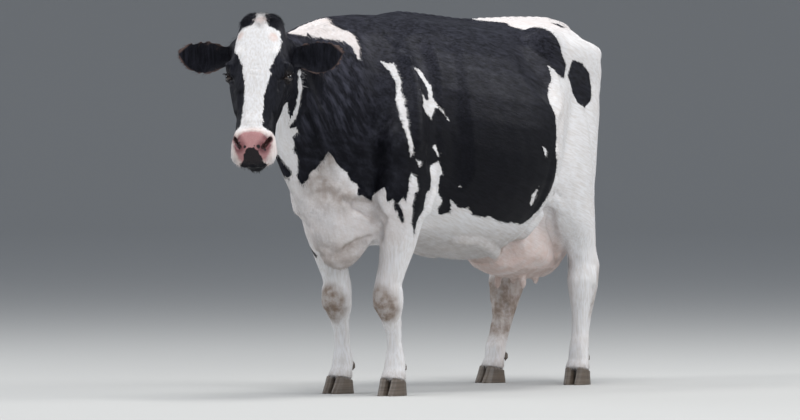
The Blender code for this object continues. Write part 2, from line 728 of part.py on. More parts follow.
def ear(name, side):
    """A cupped leaf that opens forwards, thick enough to carry its own fringe of hair."""
    base = on_head(side * 0.075, -0.105, 0.120)
    tip = on_head(side * 0.318 - 0.014, -0.135, 0.100)
    ahead, arc = HEADING, 6
    shape = bmesh.new()
    rows = []
    for share, half, depth, sag in (
        (0.00, 0.024, 0.036, 0.000), (0.14, 0.030, 0.038, -0.002), (0.28, 0.042, 0.034, -0.008),
        (0.42, 0.055, 0.028, -0.013), (0.56, 0.061, 0.023, -0.016), (0.70, 0.057, 0.018, -0.016),
        (0.82, 0.044, 0.013, -0.012), (0.92, 0.027, 0.008, -0.006), (1.00, 0.009, 0.004, 0.000)):
        middle = base.lerp(tip, share) + Vector((0, 0, sag))
        wall = 0.010 if share < 0.9 else 0.006
        row = []
        for inner in (False, True):
            for n in range(arc + 1):
                angle = math.pi * (0.5 - n / arc) * (-1 if inner else 1)
                rim = half - (wall * 0.45 if inner else 0.0)
                hollow = depth - (wall if inner else 0.0)
                if inner and n in (0, arc):
                    continue
                height, back = rim * math.sin(angle), hollow * math.cos(angle)
                row.append(shape.verts.new(middle + Vector((0, 0, height)) - ahead * (back - depth * 0.5)))
        rows.append(row)
    count = len(rows[0])
    for lower, upper in zip(rows, rows[1:]):
        for n in range(count):
            shape.faces.new((lower[n], lower[(n + 1) % count], upper[(n + 1) % count], upper[n]))
    shape.faces.new(rows[0][::-1])
    shape.faces.new(rows[-1])
    bmesh.ops.triangulate(shape, faces=shape.faces)
    return add_object(name, mesh_from_bmesh(name, shape))


def make_ears(pieces):
    for word, side in SIDES.items():
        pieces["ear_" + word] = fitted(ear("ear_" + word, side), [pieces["head"], pieces["neck"]])


def make_teats(pieces):
    for pair, (out, back) in TEATS.items():
        for word, side in SIDES.items():
            lean = 0.006 * side
            tip = 0.382 if pair == "front" else 0.398
            teat = loft(f"teat_{pair}_{word}", [
                (side * out, back, tip + 0.090, 0.0165, 0.0165, 0.0165),
                (side * out, back, tip + 0.055, 0.0150, 0.0150, 0.0150),
                (side * out + lean, back, tip + 0.025, 0.0135, 0.0135, 0.0135),
                (side * out + lean, back, tip + 0.007, 0.0110, 0.0110, 0.0110),
                (side * out + lean, back, tip, 0.0060, 0.0060, 0.0060),
            ], ACROSS, ALONG, count=10, step=0.018)
            pieces[teat.name] = fitted(teat, [pieces["udder"]])


# ---------------------------------------------------------------- colours
COLOURS = {
    "black": ((0.018, 0.019, 0.023, 1), 0.55),
    "white": ((0.80, 0.76, 0.70, 1), 0.65),
    "pink": ((0.72, 0.50, 0.44, 1), 0.50),
    "horn": ((0.20, 0.17, 0.14, 1), 0.45),
    "eye": ((0.02, 0.012, 0.010, 1), 0.08),
}
COATS = {
    "head": "black", "neck": "black", "chest": "black", "barrel": "black", "ear": "black",
    "muzzle": "pink", "udder": "pink", "teat": "pink", "eye": "eye", "claw": "horn", "dewclaw": "horn",
}


def colour_pieces(pieces):
    for name, item in pieces.items():
        coat = "white"
        for word in name.split("_"):
            coat = COATS.get(word, coat)
        colour, roughness = COLOURS[coat]
        material = bpy.data.materials.new(name)
        material.use_nodes = True
        surface = material.node_tree.nodes["Principled BSDF"]
        surface.inputs["Base Color"].default_value = colour
        surface.inputs["Roughness"].default_value = roughness
        surface.inputs["Metallic"].default_value = 0.0
        material.diffuse_color = colour
        item.data.materials.clear()
        item.data.materials.append(material)
        item.data.shade_smooth()
        item.data.set_sharp_from_angle(angle=math.radians(50))


def settle(pieces):
    """Move the cow so that the middle of its bounds stands over the origin."""
    for item in pieces.values():
        item.data.transform(Matrix.Translation(-ORIGIN))


def main():
    clear_scene()
    flesh = make_flesh()
    reduce_flesh(flesh)
    pieces = part_flesh(flesh)
    make_feet(pieces)
    make_eyes(pieces)
    make_ears(pieces)
    make_teats(pieces)
    settle(pieces)
    colour_pieces(pieces)


main()
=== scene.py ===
import math

import bmesh
import bpy
import numpy as np
from mathutils.bvhtree import BVHTree
from mathutils import Matrix, Vector


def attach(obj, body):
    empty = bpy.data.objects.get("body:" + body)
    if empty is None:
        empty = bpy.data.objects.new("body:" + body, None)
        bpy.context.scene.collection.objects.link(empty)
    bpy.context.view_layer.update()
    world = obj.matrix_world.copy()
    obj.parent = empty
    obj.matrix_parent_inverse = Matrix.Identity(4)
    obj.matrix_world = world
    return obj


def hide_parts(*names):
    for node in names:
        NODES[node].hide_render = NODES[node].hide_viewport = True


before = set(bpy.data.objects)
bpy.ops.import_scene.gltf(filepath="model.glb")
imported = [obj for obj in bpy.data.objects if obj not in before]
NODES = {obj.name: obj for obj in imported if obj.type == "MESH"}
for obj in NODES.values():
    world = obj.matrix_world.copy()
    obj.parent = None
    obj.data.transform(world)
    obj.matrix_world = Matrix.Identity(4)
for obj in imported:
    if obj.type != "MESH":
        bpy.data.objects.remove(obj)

# Metres, in the frame that the cow was modelled in: -Y ahead, +X the cow's left, +Z up.
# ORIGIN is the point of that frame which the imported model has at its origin.
ORIGIN = np.array([-0.028, -0.242, 0.0])
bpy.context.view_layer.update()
LEFT, RIGHT = BOTH = 1, -1
SIDES = {"left": LEFT, "right": RIGHT}
RNG = np.random.default_rng(7)


def rows(width, *numbers):
    """A table with so many columns, in metres, from its numbers in millimetres."""
    return np.reshape(numbers, (-1, width)) / 1000


def columns(*parts):
    """Rows of numbers from their columns; a column may be a single number."""
    return np.stack(np.broadcast_arrays(*parts), axis=1)


def sizes_of(vectors):
    return np.linalg.norm(vectors, axis=1)


# ---------------- the head's own frame
YAW, PITCH, LEAN = math.radians(22), math.radians(27), 0.020
POLL = np.array([-0.105, -1.211, 1.442])
HEADING = np.array([math.sin(YAW), -math.cos(YAW), 0.0])
HEAD_LEFT = np.array([math.cos(YAW), math.sin(YAW), 0.0])
UP = np.array([0.0, 0.0, 1.0])
HEAD_DOWN = HEADING * math.sin(PITCH) - UP * math.cos(PITCH) + HEAD_LEFT * LEAN
HEAD_OUT = HEADING * math.cos(PITCH) + UP * math.sin(PITCH)
HEAD_AXES = columns(HEAD_LEFT, HEAD_OUT, HEAD_DOWN)
TO_HEAD = np.linalg.inv(HEAD_AXES)


def on_head(left, out, down):
    """The point at these distances from the poll, to the left, out of the forehead and down the face."""
    return POLL + np.asarray([left, out, down]) @ HEAD_AXES.T


def head_places(points):
    return (points - POLL) @ TO_HEAD.T


EYE_RADIUS, IRIS, PUPIL = 0.021, 0.92, 0.34  # the last two as angles from the eye's middle
EYES = {side: on_head(side * 0.104, -0.062, 0.236) for side in BOTH}


# ---------------- mesh helpers
def add_object(name, data):
    item = bpy.data.objects.new(name, data)
    bpy.context.scene.collection.objects.link(item)
    return item


def add_shape(name, shape):
    """An object made of a bmesh, which is freed."""
    mesh = bpy.data.meshes.new(name)
    shape.to_mesh(mesh)
    shape.free()
    return add_object(name, mesh)


def read(items, key, width, kind=float):
    values = np.empty(len(items) * width, dtype=kind)
    items.foreach_get(key, values)
    return values.reshape(-1, width)


def read_points(mesh):
    return read(mesh.vertices, "co", 3)


def read_normals(mesh):
    return read(mesh.vertex_normals, "vector", 3)


def read_edges(mesh):
    return read(mesh.edges, "vertices", 2, np.int32)


def write_points(mesh, points):
    mesh.vertices.foreach_set("co", np.ascontiguousarray(points, dtype=float).ravel())
    mesh.update()


def remesh(item, size):
    """Fuse an object's parts into one skin with faces of this size."""
    fuse = item.modifiers.new("fuse", "REMESH")
    fuse.mode = "VOXEL"
    fuse.voxel_size = size
    graph = bpy.context.evaluated_depsgraph_get()
    mesh = bpy.data.meshes.new_from_object(item.evaluated_get(graph))
    item.modifiers.clear()
    item.data = mesh


def relax(points, edges, weights, rounds, keep_volume=True):
    """Smooth a mesh's points; with keep_volume each smoothing step is followed by a swelling one."""
    starts, ends = edges.T
    count = len(points)
    degree = np.maximum(np.bincount(edges.ravel(), minlength=count), 1)[:, None]
    points = points.copy()
    for amount in ((0.50, -0.52) if keep_volume else (0.50,)) * rounds:
        total = [np.bincount(starts, row[ends], count) + np.bincount(ends, row[starts], count) for row in points.T]
        points += amount * weights[:, None] * (columns(*total) / degree - points)
    return points


def ramp(value, start, end):
    """0 before start, 1 after end, smooth between; start may be the greater."""
    share = np.clip((value - start) / (end - start), 0.0, 1.0)
    return share * share * (3 - 2 * share)


def between(value, low, high):
    return (value > low) & (value < high)


def unit(vectors):
    return vectors / np.maximum(np.linalg.norm(vectors, axis=-1, keepdims=True), 1e-9)


def path_distance(points, path):
    """Each point's distance to a chain of straight runs."""
    path = [np.asarray(spot, dtype=float) for spot in path]
    if len(path) == 1:
        return sizes_of(points - path[0])
    best = np.full(len(points), np.inf)
    for start, end in zip(path, path[1:]):
        run = end - start
        share = np.clip((points - start) @ run / (run @ run), 0.0, 1.0)
        best = np.minimum(best, sizes_of(points - start - share[:, None] * run))
    return best


def nearest(points, paths):
    """Each point's distance to the nearest of some paths."""
    return np.minimum.reduce([path_distance(points, path) for path in paths])


def settle(points, path, radius):
    """The path with its spots moved onto the surface, and more of them between."""
    path = np.asarray(path, dtype=float)
    spots = [path[0]]
    for start, end in zip(path, path[1:]):
        count = max(1, int(np.ceil(np.linalg.norm(end - start) / 0.02)))
        spots += [start + (end - start) * k / count for k in range(1, count + 1)]
    reach = 0.06 + radius
    low, high = path.min(axis=0) - reach, path.max(axis=0) + reach
    near = points[((points > low) & (points < high)).all(axis=1)]
    if not len(near):
        return spots
    return [near[((near - spot) ** 2).sum(axis=1).argmin()] for spot in spots]


def stroke(points, normals, path, radius, amount):
    """Raise (or with a negative amount lower) the surface near a path, fading out at the radius."""
    path = settle(points, path, radius)
    low, high = np.min(path, axis=0) - radius, np.max(path, axis=0) + radius
    chosen = np.flatnonzero(((points > low) & (points < high)).all(axis=1))
    distance = path_distance(points[chosen], path)
    near, distance = chosen[distance < radius], distance[distance < radius]
    fade = (1.0 - (distance / radius) ** 2) ** 2
    points[near] += normals[near] * (fade * amount)[:, None]


def outline_depth(spots, outline, reach=0.035):
    """Signed distance of points on a chart to a closed outline, positive inside, true within the reach of its box."""
    outline = np.asarray(outline, dtype=float)
    near = ((spots > outline.min(axis=0) - reach) & (spots < outline.max(axis=0) + reach)).all(axis=1)
    if not near.all():
        depth = np.full(len(spots), -reach)
        if near.any():
            depth[near] = outline_depth(spots[near], outline, np.inf)
        return depth
    best = np.full(len(spots), np.inf)
    inside = np.zeros(len(spots), dtype=bool)
    for start, end in zip(outline, np.roll(outline, -1, axis=0)):
        run = end - start
        share = np.clip(((spots - start) @ run) / (run @ run), 0.0, 1.0)
        best = np.minimum(best, ((spots - start - share[:, None] * run) ** 2).sum(axis=1))
        if start[1] != end[1]:
            crosses = (start[1] > spots[:, 1]) != (end[1] > spots[:, 1])
            meets = start[0] + (spots[:, 1] - start[1]) * run[0] / run[1]
            inside ^= crosses & (spots[:, 0] < meets)
    return np.where(inside, 1.0, -1.0) * np.sqrt(best)


# ---------------- the skin
FLESH = ["barrel", "chest", "hindquarters", "neck", "head", "lower_jaw", "muzzle", "udder", "tail"]
LIMBS = ["forearm", "fore_shank", "gaskin", "hind_shank", "ear", "teat_front", "teat_rear"]
FLESH += [f"{limb}_{side}" for limb in LIMBS for side in SIDES]
GROWTH = 0.0012  # what the solids are grown by, so that their thin gaps close
SKIN_VOXEL = 0.0068
TAIL_TOP, TAIL_RADIUS = 0.80, 0.0130  # where the switch begins, and the skin's radius below that
FEET = {"fore": {LEFT: (0.140, -0.648), RIGHT: (-0.140, -0.576)},  # x and y of each cannon bone's middle
        "hind": {LEFT: (0.200, 0.650), RIGHT: (-0.180, 0.640)}}
# x, y, z, radius: the bony end of the tail inside the switch
TAIL_TIP = rows(
    4, 17, 924, 800, 11, 20, 923, 760, 11.5, 26, 920, 700, 12, 30, 920, 640, 12, 36, 920, 560, 11, 42, 920, 480, 9,
    44, 920, 440, 6)


def add_tube(shape, spots, count=12, closed=True):
    """Rings at the spots (x, y, z, radius), joined, with a face across the first and, when closed, the last."""
    angles = [2 * math.pi * k / count for k in range(count)]
    rings = [[shape.verts.new((x + radius * math.cos(t), y + radius * math.sin(t), z)) for t in angles]
             for x, y, z, radius in spots]
    for lower, upper in zip(rings, rings[1:]):
        for k in range(count):
            shape.faces.new((lower[k], upper[k], upper[(k + 1) % count], lower[(k + 1) % count]))
    shape.faces.new(rings[0])
    if closed:
        shape.faces.new(rings[-1][::-1])


def fuse_flesh():
    """One mesh round all the flesh, with the eye sockets filled and a pad of flesh at each dewclaw."""
    shape = bmesh.new()

    def add_ball(centre, radius):
        bmesh.ops.create_icosphere(shape, subdivisions=3, radius=radius, matrix=Matrix.Translation(centre))

    for name in FLESH:
        mesh = NODES[name].data.copy()
        write_points(mesh, read_points(mesh) + read_normals(mesh) * GROWTH + ORIGIN)
        shape.from_mesh(mesh)
        bpy.data.meshes.remove(mesh)
    for side in BOTH:
        add_ball(EYES[side], EYE_RADIUS + 0.004)
    add_tube(shape, TAIL_TIP)
    for name, item in NODES.items():
        if "dewclaw" in name:
            middle = (read_points(item.data) + ORIGIN).mean(axis=0)
            x, y = FEET[name[:4]][SIDES[name.split("_")[2]]]
            inward = unit(np.array([x - middle[0], y - middle[1], 0.004]))
            add_ball(middle + inward * 0.014 + (0, 0, 0.006), 0.020)
    item = add_shape("skin", shape)
    remesh(item, SKIN_VOXEL)
    return item


def refine(item, test):
    """Split the faces whose corners all pass the test into four."""
    chosen = test(read_points(item.data))
    shape = bmesh.new()
    shape.from_mesh(item.data)
    shape.verts.ensure_lookup_table()
    edges = [edge for edge in shape.edges if chosen[edge.verts[0].index] and chosen[edge.verts[1].index]]
    bmesh.ops.subdivide_edges(shape, edges=edges, cuts=1, use_grid_fill=True)
    shape.to_mesh(item.data)
    shape.free()
    item.data.update()


def head_share(points):
    """1 on the head, 0 on the neck behind the poll and the jaw."""
    left, out, down = head_places(points).T
    limit = np.interp(down, (-0.05, 0.05, 0.156, 0.226, 0.286, 0.33, 0.37, 0.41, 0.46, 0.62),
                      (-0.10, -0.12, -0.150, -0.200, -0.245, -0.28, -0.29, -0.28, -0.24, -0.20))
    return ramp(out - limit, -0.02, 0.02) * (points[:, 1] < -0.95) * (down < 0.72) * (np.abs(left) < 0.45)


def regions(points):
    """How much of the head, legs, ears and tail each point belongs to, from 0 to 1."""
    x, y, z = points.T
    left, _, down = head_places(points).T
    ear = ramp(np.abs(left), 0.125, 0.160) * ramp(down, 0.24, 0.20) * (y < -1.0)
    leg = ramp(z, 0.66, 0.56) * (np.abs(y) > 0.45) * ramp(np.abs(x), 0.06, 0.09)
    tail = ramp(y, 0.885, 0.90) * (np.abs(x) < 0.10)
    return {"head": np.maximum(head_share(points), ear), "ear": ear, "leg": leg, "tail": tail}


# how far along the ear in thousandths, half height, depth of the cup, sag
EAR_STATIONS = rows(
    4, 0, 24, 36, 0, 140, 30, 38, -2, 280, 42, 34, -8, 420, 55, 28, -13, 560, 62, 23, -16, 700, 61, 18, -16,
    820, 52, 13, -13, 920, 37, 8, -8, 1000, 12, 4, 0)
# Strokes that raise or lower the surface, in millimetres: radius, amount, and a path of x, y, z on the left
# side. Each is made on both sides.
BODY_STROKES = [
    (36, 9, 61, -698, 1417, 102, -649, 1380, 149, -610, 1327, 179, -614, 1273),
    (48, 10, 179, -614, 1273, 212, -625, 1197, 252, -662, 1083, 272, -680, 970),
    (75, -13, 200, -530, 1320, 250, -545, 1180, 285, -570, 1020, 280, -580, 880),
    (80, -6, 110, -760, 1300, 160, -800, 1140, 190, -840, 1000),
    (35, 10, 265, -550, 760, 250, -580, 700),
    (40, -13, 105, -858, 720, 132, -800, 708, 158, -790, 690, 150, -775, 640, 133, -757, 600),
    (18, -8, 81, -909, 742, 105, -858, 737, 126, -804, 729, 166, -805, 706, 177, -796, 678, 167, -784, 659),
    (18, -15, 105, -859, 723, 117, -824, 706, 127, -796, 687, 139, -780, 668, 147, -775, 639, 133, -757, 606),
    (30, 5, 85, -900, 765, 125, -820, 760, 175, -810, 742, 196, -800, 700),
    (20, -13, 103, -765, 592, 88, -832, 583, 65, -866, 565),
    (18, -5, 107, -781, 601, 107, -808, 616, 93, -858, 631),
    (18, -4, 105, -775, 597, 97, -810, 588, 92, -847, 602),
    (90, 8, 0, -964, 690, 15, -930, 640),
    (32, -11, -17, -912, 555, 15, -892, 536, 52, -862, 541, 85, -827, 569),
    (30, -5, 24, -1045, 1210, 48, -998, 1120, 56, -961, 1019),
    (26, 4, 13, -1075, 1213, 27, -1028, 1083, 18, -995, 970),
    (28, -6, 3, -1060, 1060, 10, -985, 932, 48, -925, 819),
    (50, 8, 372, 181, 907, 366, 136, 794, 341, 102, 705),
    (60, -12, 335, 260, 1020, 325, 250, 880, 300, 240, 760),
    (65, -26, 310, 220, 690, 280, 160, 610, 220, 140, 550, 120, 270, 500),
    (20, -16, 338, 215, 755, 330, 172, 705, 312, 125, 652, 280, 85, 605, 235, 68, 565, 195, 90, 540, 90, 235, 508),
    (26, -20, 300, 250, 700, 200, 430, 650, 168, 520, 580, 138, 594, 506),
    (50, 10, 150, 420, 520, 120, 520, 500),
    (12, -4, 345, 200, 800, 300, 290, 760, 255, 370, 710),
    (12, -4, 340, 240, 860, 300, 330, 800, 260, 410, 740),
    (40, 8, 300, 300, 800, 262, 360, 720, 235, 430, 680),
    (50, -8, 260, 620, 1100, 270, 660, 950, 250, 680, 800),
    (50, -10, 200, 500, 1390, 180, 660, 1375, 160, 780, 1360),
    (40, 6, 140, 860, 1250, 160, 820, 1100, 170, 770, 950),
    (34, 20, 164, -219, 584, 195, -130, 575, 180, -10, 549, 140, 100, 525),
]
RIB = rows(3, 210, 0, 1370, 315, 90, 1220, 378, 180, 1050, 385, 240, 900)
RIB_STARTS = (-0.32, -0.245, -0.17, -0.095, -0.02, 0.055)
LEG_STROKES = [  # the same for a leg, with x and y counted from its cannon bone's middle
    ("fore", 20, 5, 35, -45, 400, 35, -45, 340),
    ("fore", 20, 5, -35, -45, 400, -35, -45, 340),
    ("fore", 16, -5, 36, -10, 300, 34, 5, 200),
    ("fore", 16, -5, -36, -10, 300, -34, 5, 200),
    ("fore", 16, 3, 0, 35, 280, 0, 37, 160),
    ("hind", 18, -6, 40, 30, 310, 36, 18, 200),
    ("hind", 18, -6, -40, 30, 310, -36, 18, 200),
    ("hind", 22, 6, 50, 30, 450, 45, 20, 400),
]
HEAD_STROKES = [  # the same in the head's frame: left, out, down
    (30, 7, 40, -10, 12, 58, -20, 30),
    (12, -4, 18, 0, -10, 26, 4, 34),
    (70, -4, 0, 5, 130, 0, 5, 200),
    (36, 8, 80, 0, 165, 102, -18, 190, 118, -45, 202),
    (30, 7, 112, -30, 208, 124, -62, 203, 118, -95, 193),
    (30, -8, 110, -105, 175, 104, -120, 150),
    (22, 6, 100, -55, 285, 90, -58, 335, 74, -56, 385),
    (20, -5, 96, -90, 300, 82, -92, 375),
    (70, 6, 100, -165, 235),
    (24, -6, 92, -120, 320, 75, -160, 350, 62, -195, 375),
    (22, -4, 52, -22, 330, 46, -22, 430),
    (12, -4, 98, -36, 262, 86, -36, 300),
    (26, 4, 86, -235, 220, 74, -225, 300, 58, -190, 385, 45, -165, 460),
    (30, 4, 45, -12, 500, 62, -28, 488),
    (24, -4, 30, -8, 462, 55, -20, 455),
    (22, 4, 72, -75, 565, 40, -70, 602),
    (10, -2.2, -30, -6, 476, 30, -6, 476),
    (8, -1.6, -26, -6, 464, 26, -6, 464),
    (8, -1.2, -22, -6, 452, 22, -6, 452),
    (6, -1.2, 20, 4, 216, -12, 4, 222),
    (6, -1.2, 16, 4, 238, -18, 4, 232),
    (6, -1.2, 30, 4, 262, -22, 4, 256),
]
NOSTRIL = rows(3, 50, -13, 554, 57, -14, 545, 64, -19, 527, 69, -29, 512)
MOUTH = rows(3, 0, -98, 604, 30, -99, 600, 56, -104, 580, 72, -111, 545, 70, -121, 505, 60, -128, 462)
NOSTRIL_RADIUS = 0.0115
LID_HALF, LID_TOP, LID_LOW = 1.16, 0.48, -0.50  # the opening of the lids, as angles from the eye's middle


def carve_body(points, normals):
    for side in BOTH:
        for radius, amount, *path in BODY_STROKES:
            stroke(points, normals, rows(3, *path) * (side, 1, 1), radius / 1000, amount / 1000)
        for start in RIB_STARTS:  # the ribs run down and back
            stroke(points, normals, (RIB + (0, start, 0)) * (side, 1, 1), 0.044, 0.0013)
        for end, radius, amount, *path in LEG_STROKES:
            path = rows(3, *path) * (side, 1, 1) + (*FEET[end][side], 0)
            stroke(points, normals, path, radius / 1000, amount / 1000)
    for place in np.arange(-0.40, 0.80, 0.062):  # the tips of the backbone
        stroke(points, normals, [(0.0, place, 1.455)], 0.030, 0.0022)


def head_path(path, side=LEFT):
    return [on_head(side * left, out, down) for left, out, down in path]


def carve_head(points, normals):
    for radius, amount, *path in HEAD_STROKES:
        path = rows(3, *path)
        for side in BOTH if path[0, 0] * path[-1, 0] > 0 else (LEFT,):
            stroke(points, normals, head_path(path, side), radius / 1000, amount / 1000)


def round_ears(points):
    """Fill the ears out towards their tips, level with the line of their rims."""
    for side in BOTH:
        for sign in (1, -1):
            rim = ear_rim(side, sign)
            arms = points - rim[7]
            share = np.exp(-((sizes_of(arms * (1.0, 1.0, 0.7)) / 0.034) ** 2))
            points += 0.012 * share[:, None] * UP * sign
        near = np.exp(-((path_distance(points, ear_rim(side, 1)[3:7]) / 0.030) ** 2))
        points += 0.010 * near[:, None] * UP


def carve_mouth(points, normals):
    for side in BOTH:
        nostril = head_path(NOSTRIL, side)
        stroke(points, normals, nostril, 0.024, 0.0022)
        stroke(points, normals, head_path(MOUTH * (1.02, 1, 1) + (0, 0.017, 0), side), 0.018, 0.0030)
        stroke(points, normals, head_path(MOUTH, side), 0.009, -0.0060)
        share = path_distance(points, nostril) / NOSTRIL_RADIUS
        near = share < 1
        depth = 0.019 * (1.0 - share[near] ** 2)
        points[near] -= (0.75 * normals[near] + 0.45 * HEAD_DOWN) * depth[:, None]
    stroke(points, normals, head_path([(0.0, -0.030, 0.590), (0.0, -0.060, 0.603)]), 0.008, -0.0030)
    stroke(points, normals, head_path([(0.0, -0.140, 0.580)]), 0.040, 0.005)


def eye_frame(side):
    """Centre of an eye, its outward direction, and the directions towards the nose and upwards."""
    outward = HEAD_LEFT * side * 0.87 + HEADING * 0.48 + UP * 0.06
    outward /= np.linalg.norm(outward)
    along = HEADING - outward * (HEADING @ outward) - UP * 0.16
    along -= outward * (along @ outward)
    along /= np.linalg.norm(along)
    upward = np.cross(outward, along) * side
    return EYES[side], outward, along, upward * np.sign(upward[2])


def lid_depth(a, b):
    """How far inside the opening of the lids a direction is, as an angle."""
    share = np.clip(1.0 - (a / LID_HALF) ** 2, 0.0, 1.0)
    top = LID_TOP * share ** 0.60 + 0.05 * share * np.sin(1.5 * a)
    low = LID_LOW * share ** 0.75
    inner = np.minimum(top - b, b - low)
    beyond = np.maximum(np.abs(a) - LID_HALF, 0.0)
    outer = -np.hypot(beyond, np.maximum(-inner, 0.0))
    return np.where((inner > 0) & (beyond == 0), inner, outer)


def eye_angles(arms, outward, along, upward):
    """Where the arms from an eye's centre point, as angles towards the nose and upwards."""
    return np.arctan2(arms @ along, arms @ outward), np.arctan2(arms @ upward, arms @ outward)


def shape_lids(points):
    for side in BOTH:
        centre, *axes = eye_frame(side)
        arms = points - centre
        reach = sizes_of(arms)
        near = np.flatnonzero((reach < 0.055) & (arms @ axes[0] > 0.004))
        spots, reach = arms[near], reach[near]
        a, b = eye_angles(spots, *axes)
        depth = lid_depth(a, b)
        off = -depth
        lid = EYE_RADIUS + 0.0004 + 0.0030 * ramp(off, 0.0, 0.13)
        lid -= np.where(b > 0, 0.0022, 0.0012) * np.exp(-(((off - 0.40) / 0.07) ** 2))
        lid += 0.0012 * np.exp(-(((off - 0.56) / 0.09) ** 2)) * (b > 0)
        inner = EYE_RADIUS - 0.004 * ramp(depth, 0.0, 0.12)
        target = np.where(depth > 0, inner, lid)
        weight = 1.0 - ramp(off, 0.45, 1.05)
        points[near] = centre + spots / reach[:, None] * (reach * (1 - weight) + target * weight)[:, None]


def at_teats(points, height, across=0.11, along=0.13):
    x, y, z = points.T
    return (z < height) & (np.abs(x) < across) & (np.abs(y - 0.5) < along)


def thin_tail(points, tail):
    """Draw the skin round the end of the tail in to the bone's radius."""
    end = np.flatnonzero((tail > 0.5) & (points[:, 2] < TAIL_TOP))
    x, y, z, _ = TAIL_TIP.T
    arms = points[end, :2] - columns(*[np.interp(-points[end, 2], -z, row) for row in (x, y)])
    reach = sizes_of(arms)
    points[end, :2] -= arms * np.maximum(0.0, 1.0 - TAIL_RADIUS / np.maximum(reach, 1e-6))[:, None]


def soften_head(item, rounds):
    points = read_points(item.data)
    weights = regions(points)["head"]
    write_points(item.data, relax(points, read_edges(item.data), weights, rounds, keep_volume=False))


def make_skin():
    item = fuse_flesh()
    mesh = item.data
    points, edges = read_points(mesh), read_edges(mesh)
    part = regions(points)
    trunk = 1.0 - np.maximum.reduce(list(part.values()))
    teats = at_teats(points, 0.43, 0.10, 0.12)
    points = relax(points, edges, np.ones(len(points)), 6)
    points = relax(points, edges, trunk * (~teats) + 0.5 * part["leg"], 50)
    thin_tail(points, part["tail"])
    write_points(mesh, points)
    depth = 0.0025 - (0.0012 * part["head"] + 0.0005 * part["leg"])
    depth[teats] = 0.0
    points -= read_normals(mesh) * (GROWTH + depth)[:, None]
    write_points(mesh, points)
    carve_body(points, read_normals(mesh))
    chest = ramp(points[:, 1], -0.70, -0.78) * ramp(points[:, 2], 0.98, 0.88) * (1 - part["leg"])
    write_points(mesh, relax(points, edges, chest, 10))
    eyes = [[centre] for centre in EYES.values()]
    nostrils, mouths = ([head_path(path, side) for side in BOTH] for path in (NOSTRIL, MOUTH))
    refine(item, lambda spots: regions(spots)["head"] > 0.3)
    soften_head(item, 4)
    points = read_points(item.data)
    carve_head(points, read_normals(item.data))
    round_ears(points)
    write_points(item.data, relax(points, read_edges(item.data), regions(points)["ear"], 6))
    refine(item, lambda spots: (nearest(spots, eyes) < 0.050) | (nearest(spots, nostrils) < 0.030)
           | (nearest(spots, mouths) < 0.022))
    refine(item, lambda spots: (nearest(spots, eyes) < 0.034) | (nearest(spots, nostrils) < 0.016))
    soften_head(item, 3)
    points = read_points(item.data)
    carve_mouth(points, read_normals(item.data))
    write_points(item.data, points)
    soften_head(item, 1)
    points = read_points(item.data)
    shape_lids(points)
    write_points(item.data, points)
    return item


# ---------------- markings
# Outlines on the left side, y and z in millimetres: the black, the white marks in it, and black spots beyond it.
BLACK_LEFT = rows(
    2, -1400, 1600, 200, 1600, 190, 1440, 270, 1435, 250, 1420, 290, 1400, 330, 1370, 350, 1340, 370, 1310, 420, 1260,
    400, 1210, 330, 1220, 300, 1250, 270, 1260, 280, 1210, 230, 1160, 180, 1110, 190, 1060, 180, 970, 160, 920,
    170, 870, 160, 790, 110, 740, 70, 670, 30, 640, -30, 650, -110, 655, -190, 680, -200, 670, -260, 680, -310, 710,
    -350, 710, -410, 740, -380, 690, -430, 685, -460, 710, -450, 740, -490, 770, -500, 830, -480, 840, -520, 890,
    -580, 870, -590, 840, -600, 790, -640, 760, -640, 700, -660, 680, -670, 610, -700, 660, -725, 740, -735, 762,
    -752, 733, -765, 754, -788, 722, -800, 748, -812, 737, -830, 760, -820, 790, -820, 760, -840, 750, -860, 790,
    -890, 830, -890, 860, -920, 890, -960, 930, -965, 890, -980, 860, -1000, 840, -1020, 800, -1030, 790, -1400, 790)
WHITE_LEFT = [
    rows(2, -1060, 1370, -1020, 1360, -930, 1350, -870, 1340, -850, 1320, -840, 1270, -820, 1320, -820, 1360,
         -840, 1390, -855, 1430, -880, 1600, -1100, 1600),
    rows(2, -735, 1265, -710, 1230, -700, 1190, -710, 1140, -725, 1100, -750, 1020, -745, 960, -730, 895, -720, 930,
         -720, 950, -730, 1010, -710, 1080, -690, 1140, -675, 1190, -680, 1260),
    rows(2, -610, 1245, -570, 1240, -550, 1220, -525, 1180, -530, 1130, -490, 1080, -445, 1035, -510, 1090,
         -530, 1090, -560, 1050, -610, 1075, -640, 1100, -620, 1110, -620, 1160, -590, 1120, -560, 1120, -550, 1170,
         -570, 1200),
    rows(2, -740, 830, -730, 845, -700, 830, -695, 780, -715, 765, -720, 700, -760, 700, -745, 780),
    rows(2, -555, 945, -530, 955, -515, 905),
    rows(2, -705, 895, -670, 890, -680, 865),
    rows(2, -385, 795, -375, 795, -380, 780),
    rows(2, 50, 950, 75, 900, 85, 930),
    rows(2, 45, 790, 35, 755, 30, 715, 10, 725, 10, 755),
]
SPOTS_LEFT = [
    rows(2, 470, 1285, 550, 1275, 630, 1240, 675, 1180, 650, 1120, 600, 1095, 550, 1110, 490, 1160, 440, 1220),
    rows(2, -795, 730, -775, 725, -750, 690, -735, 650, -765, 680, -790, 710),
]
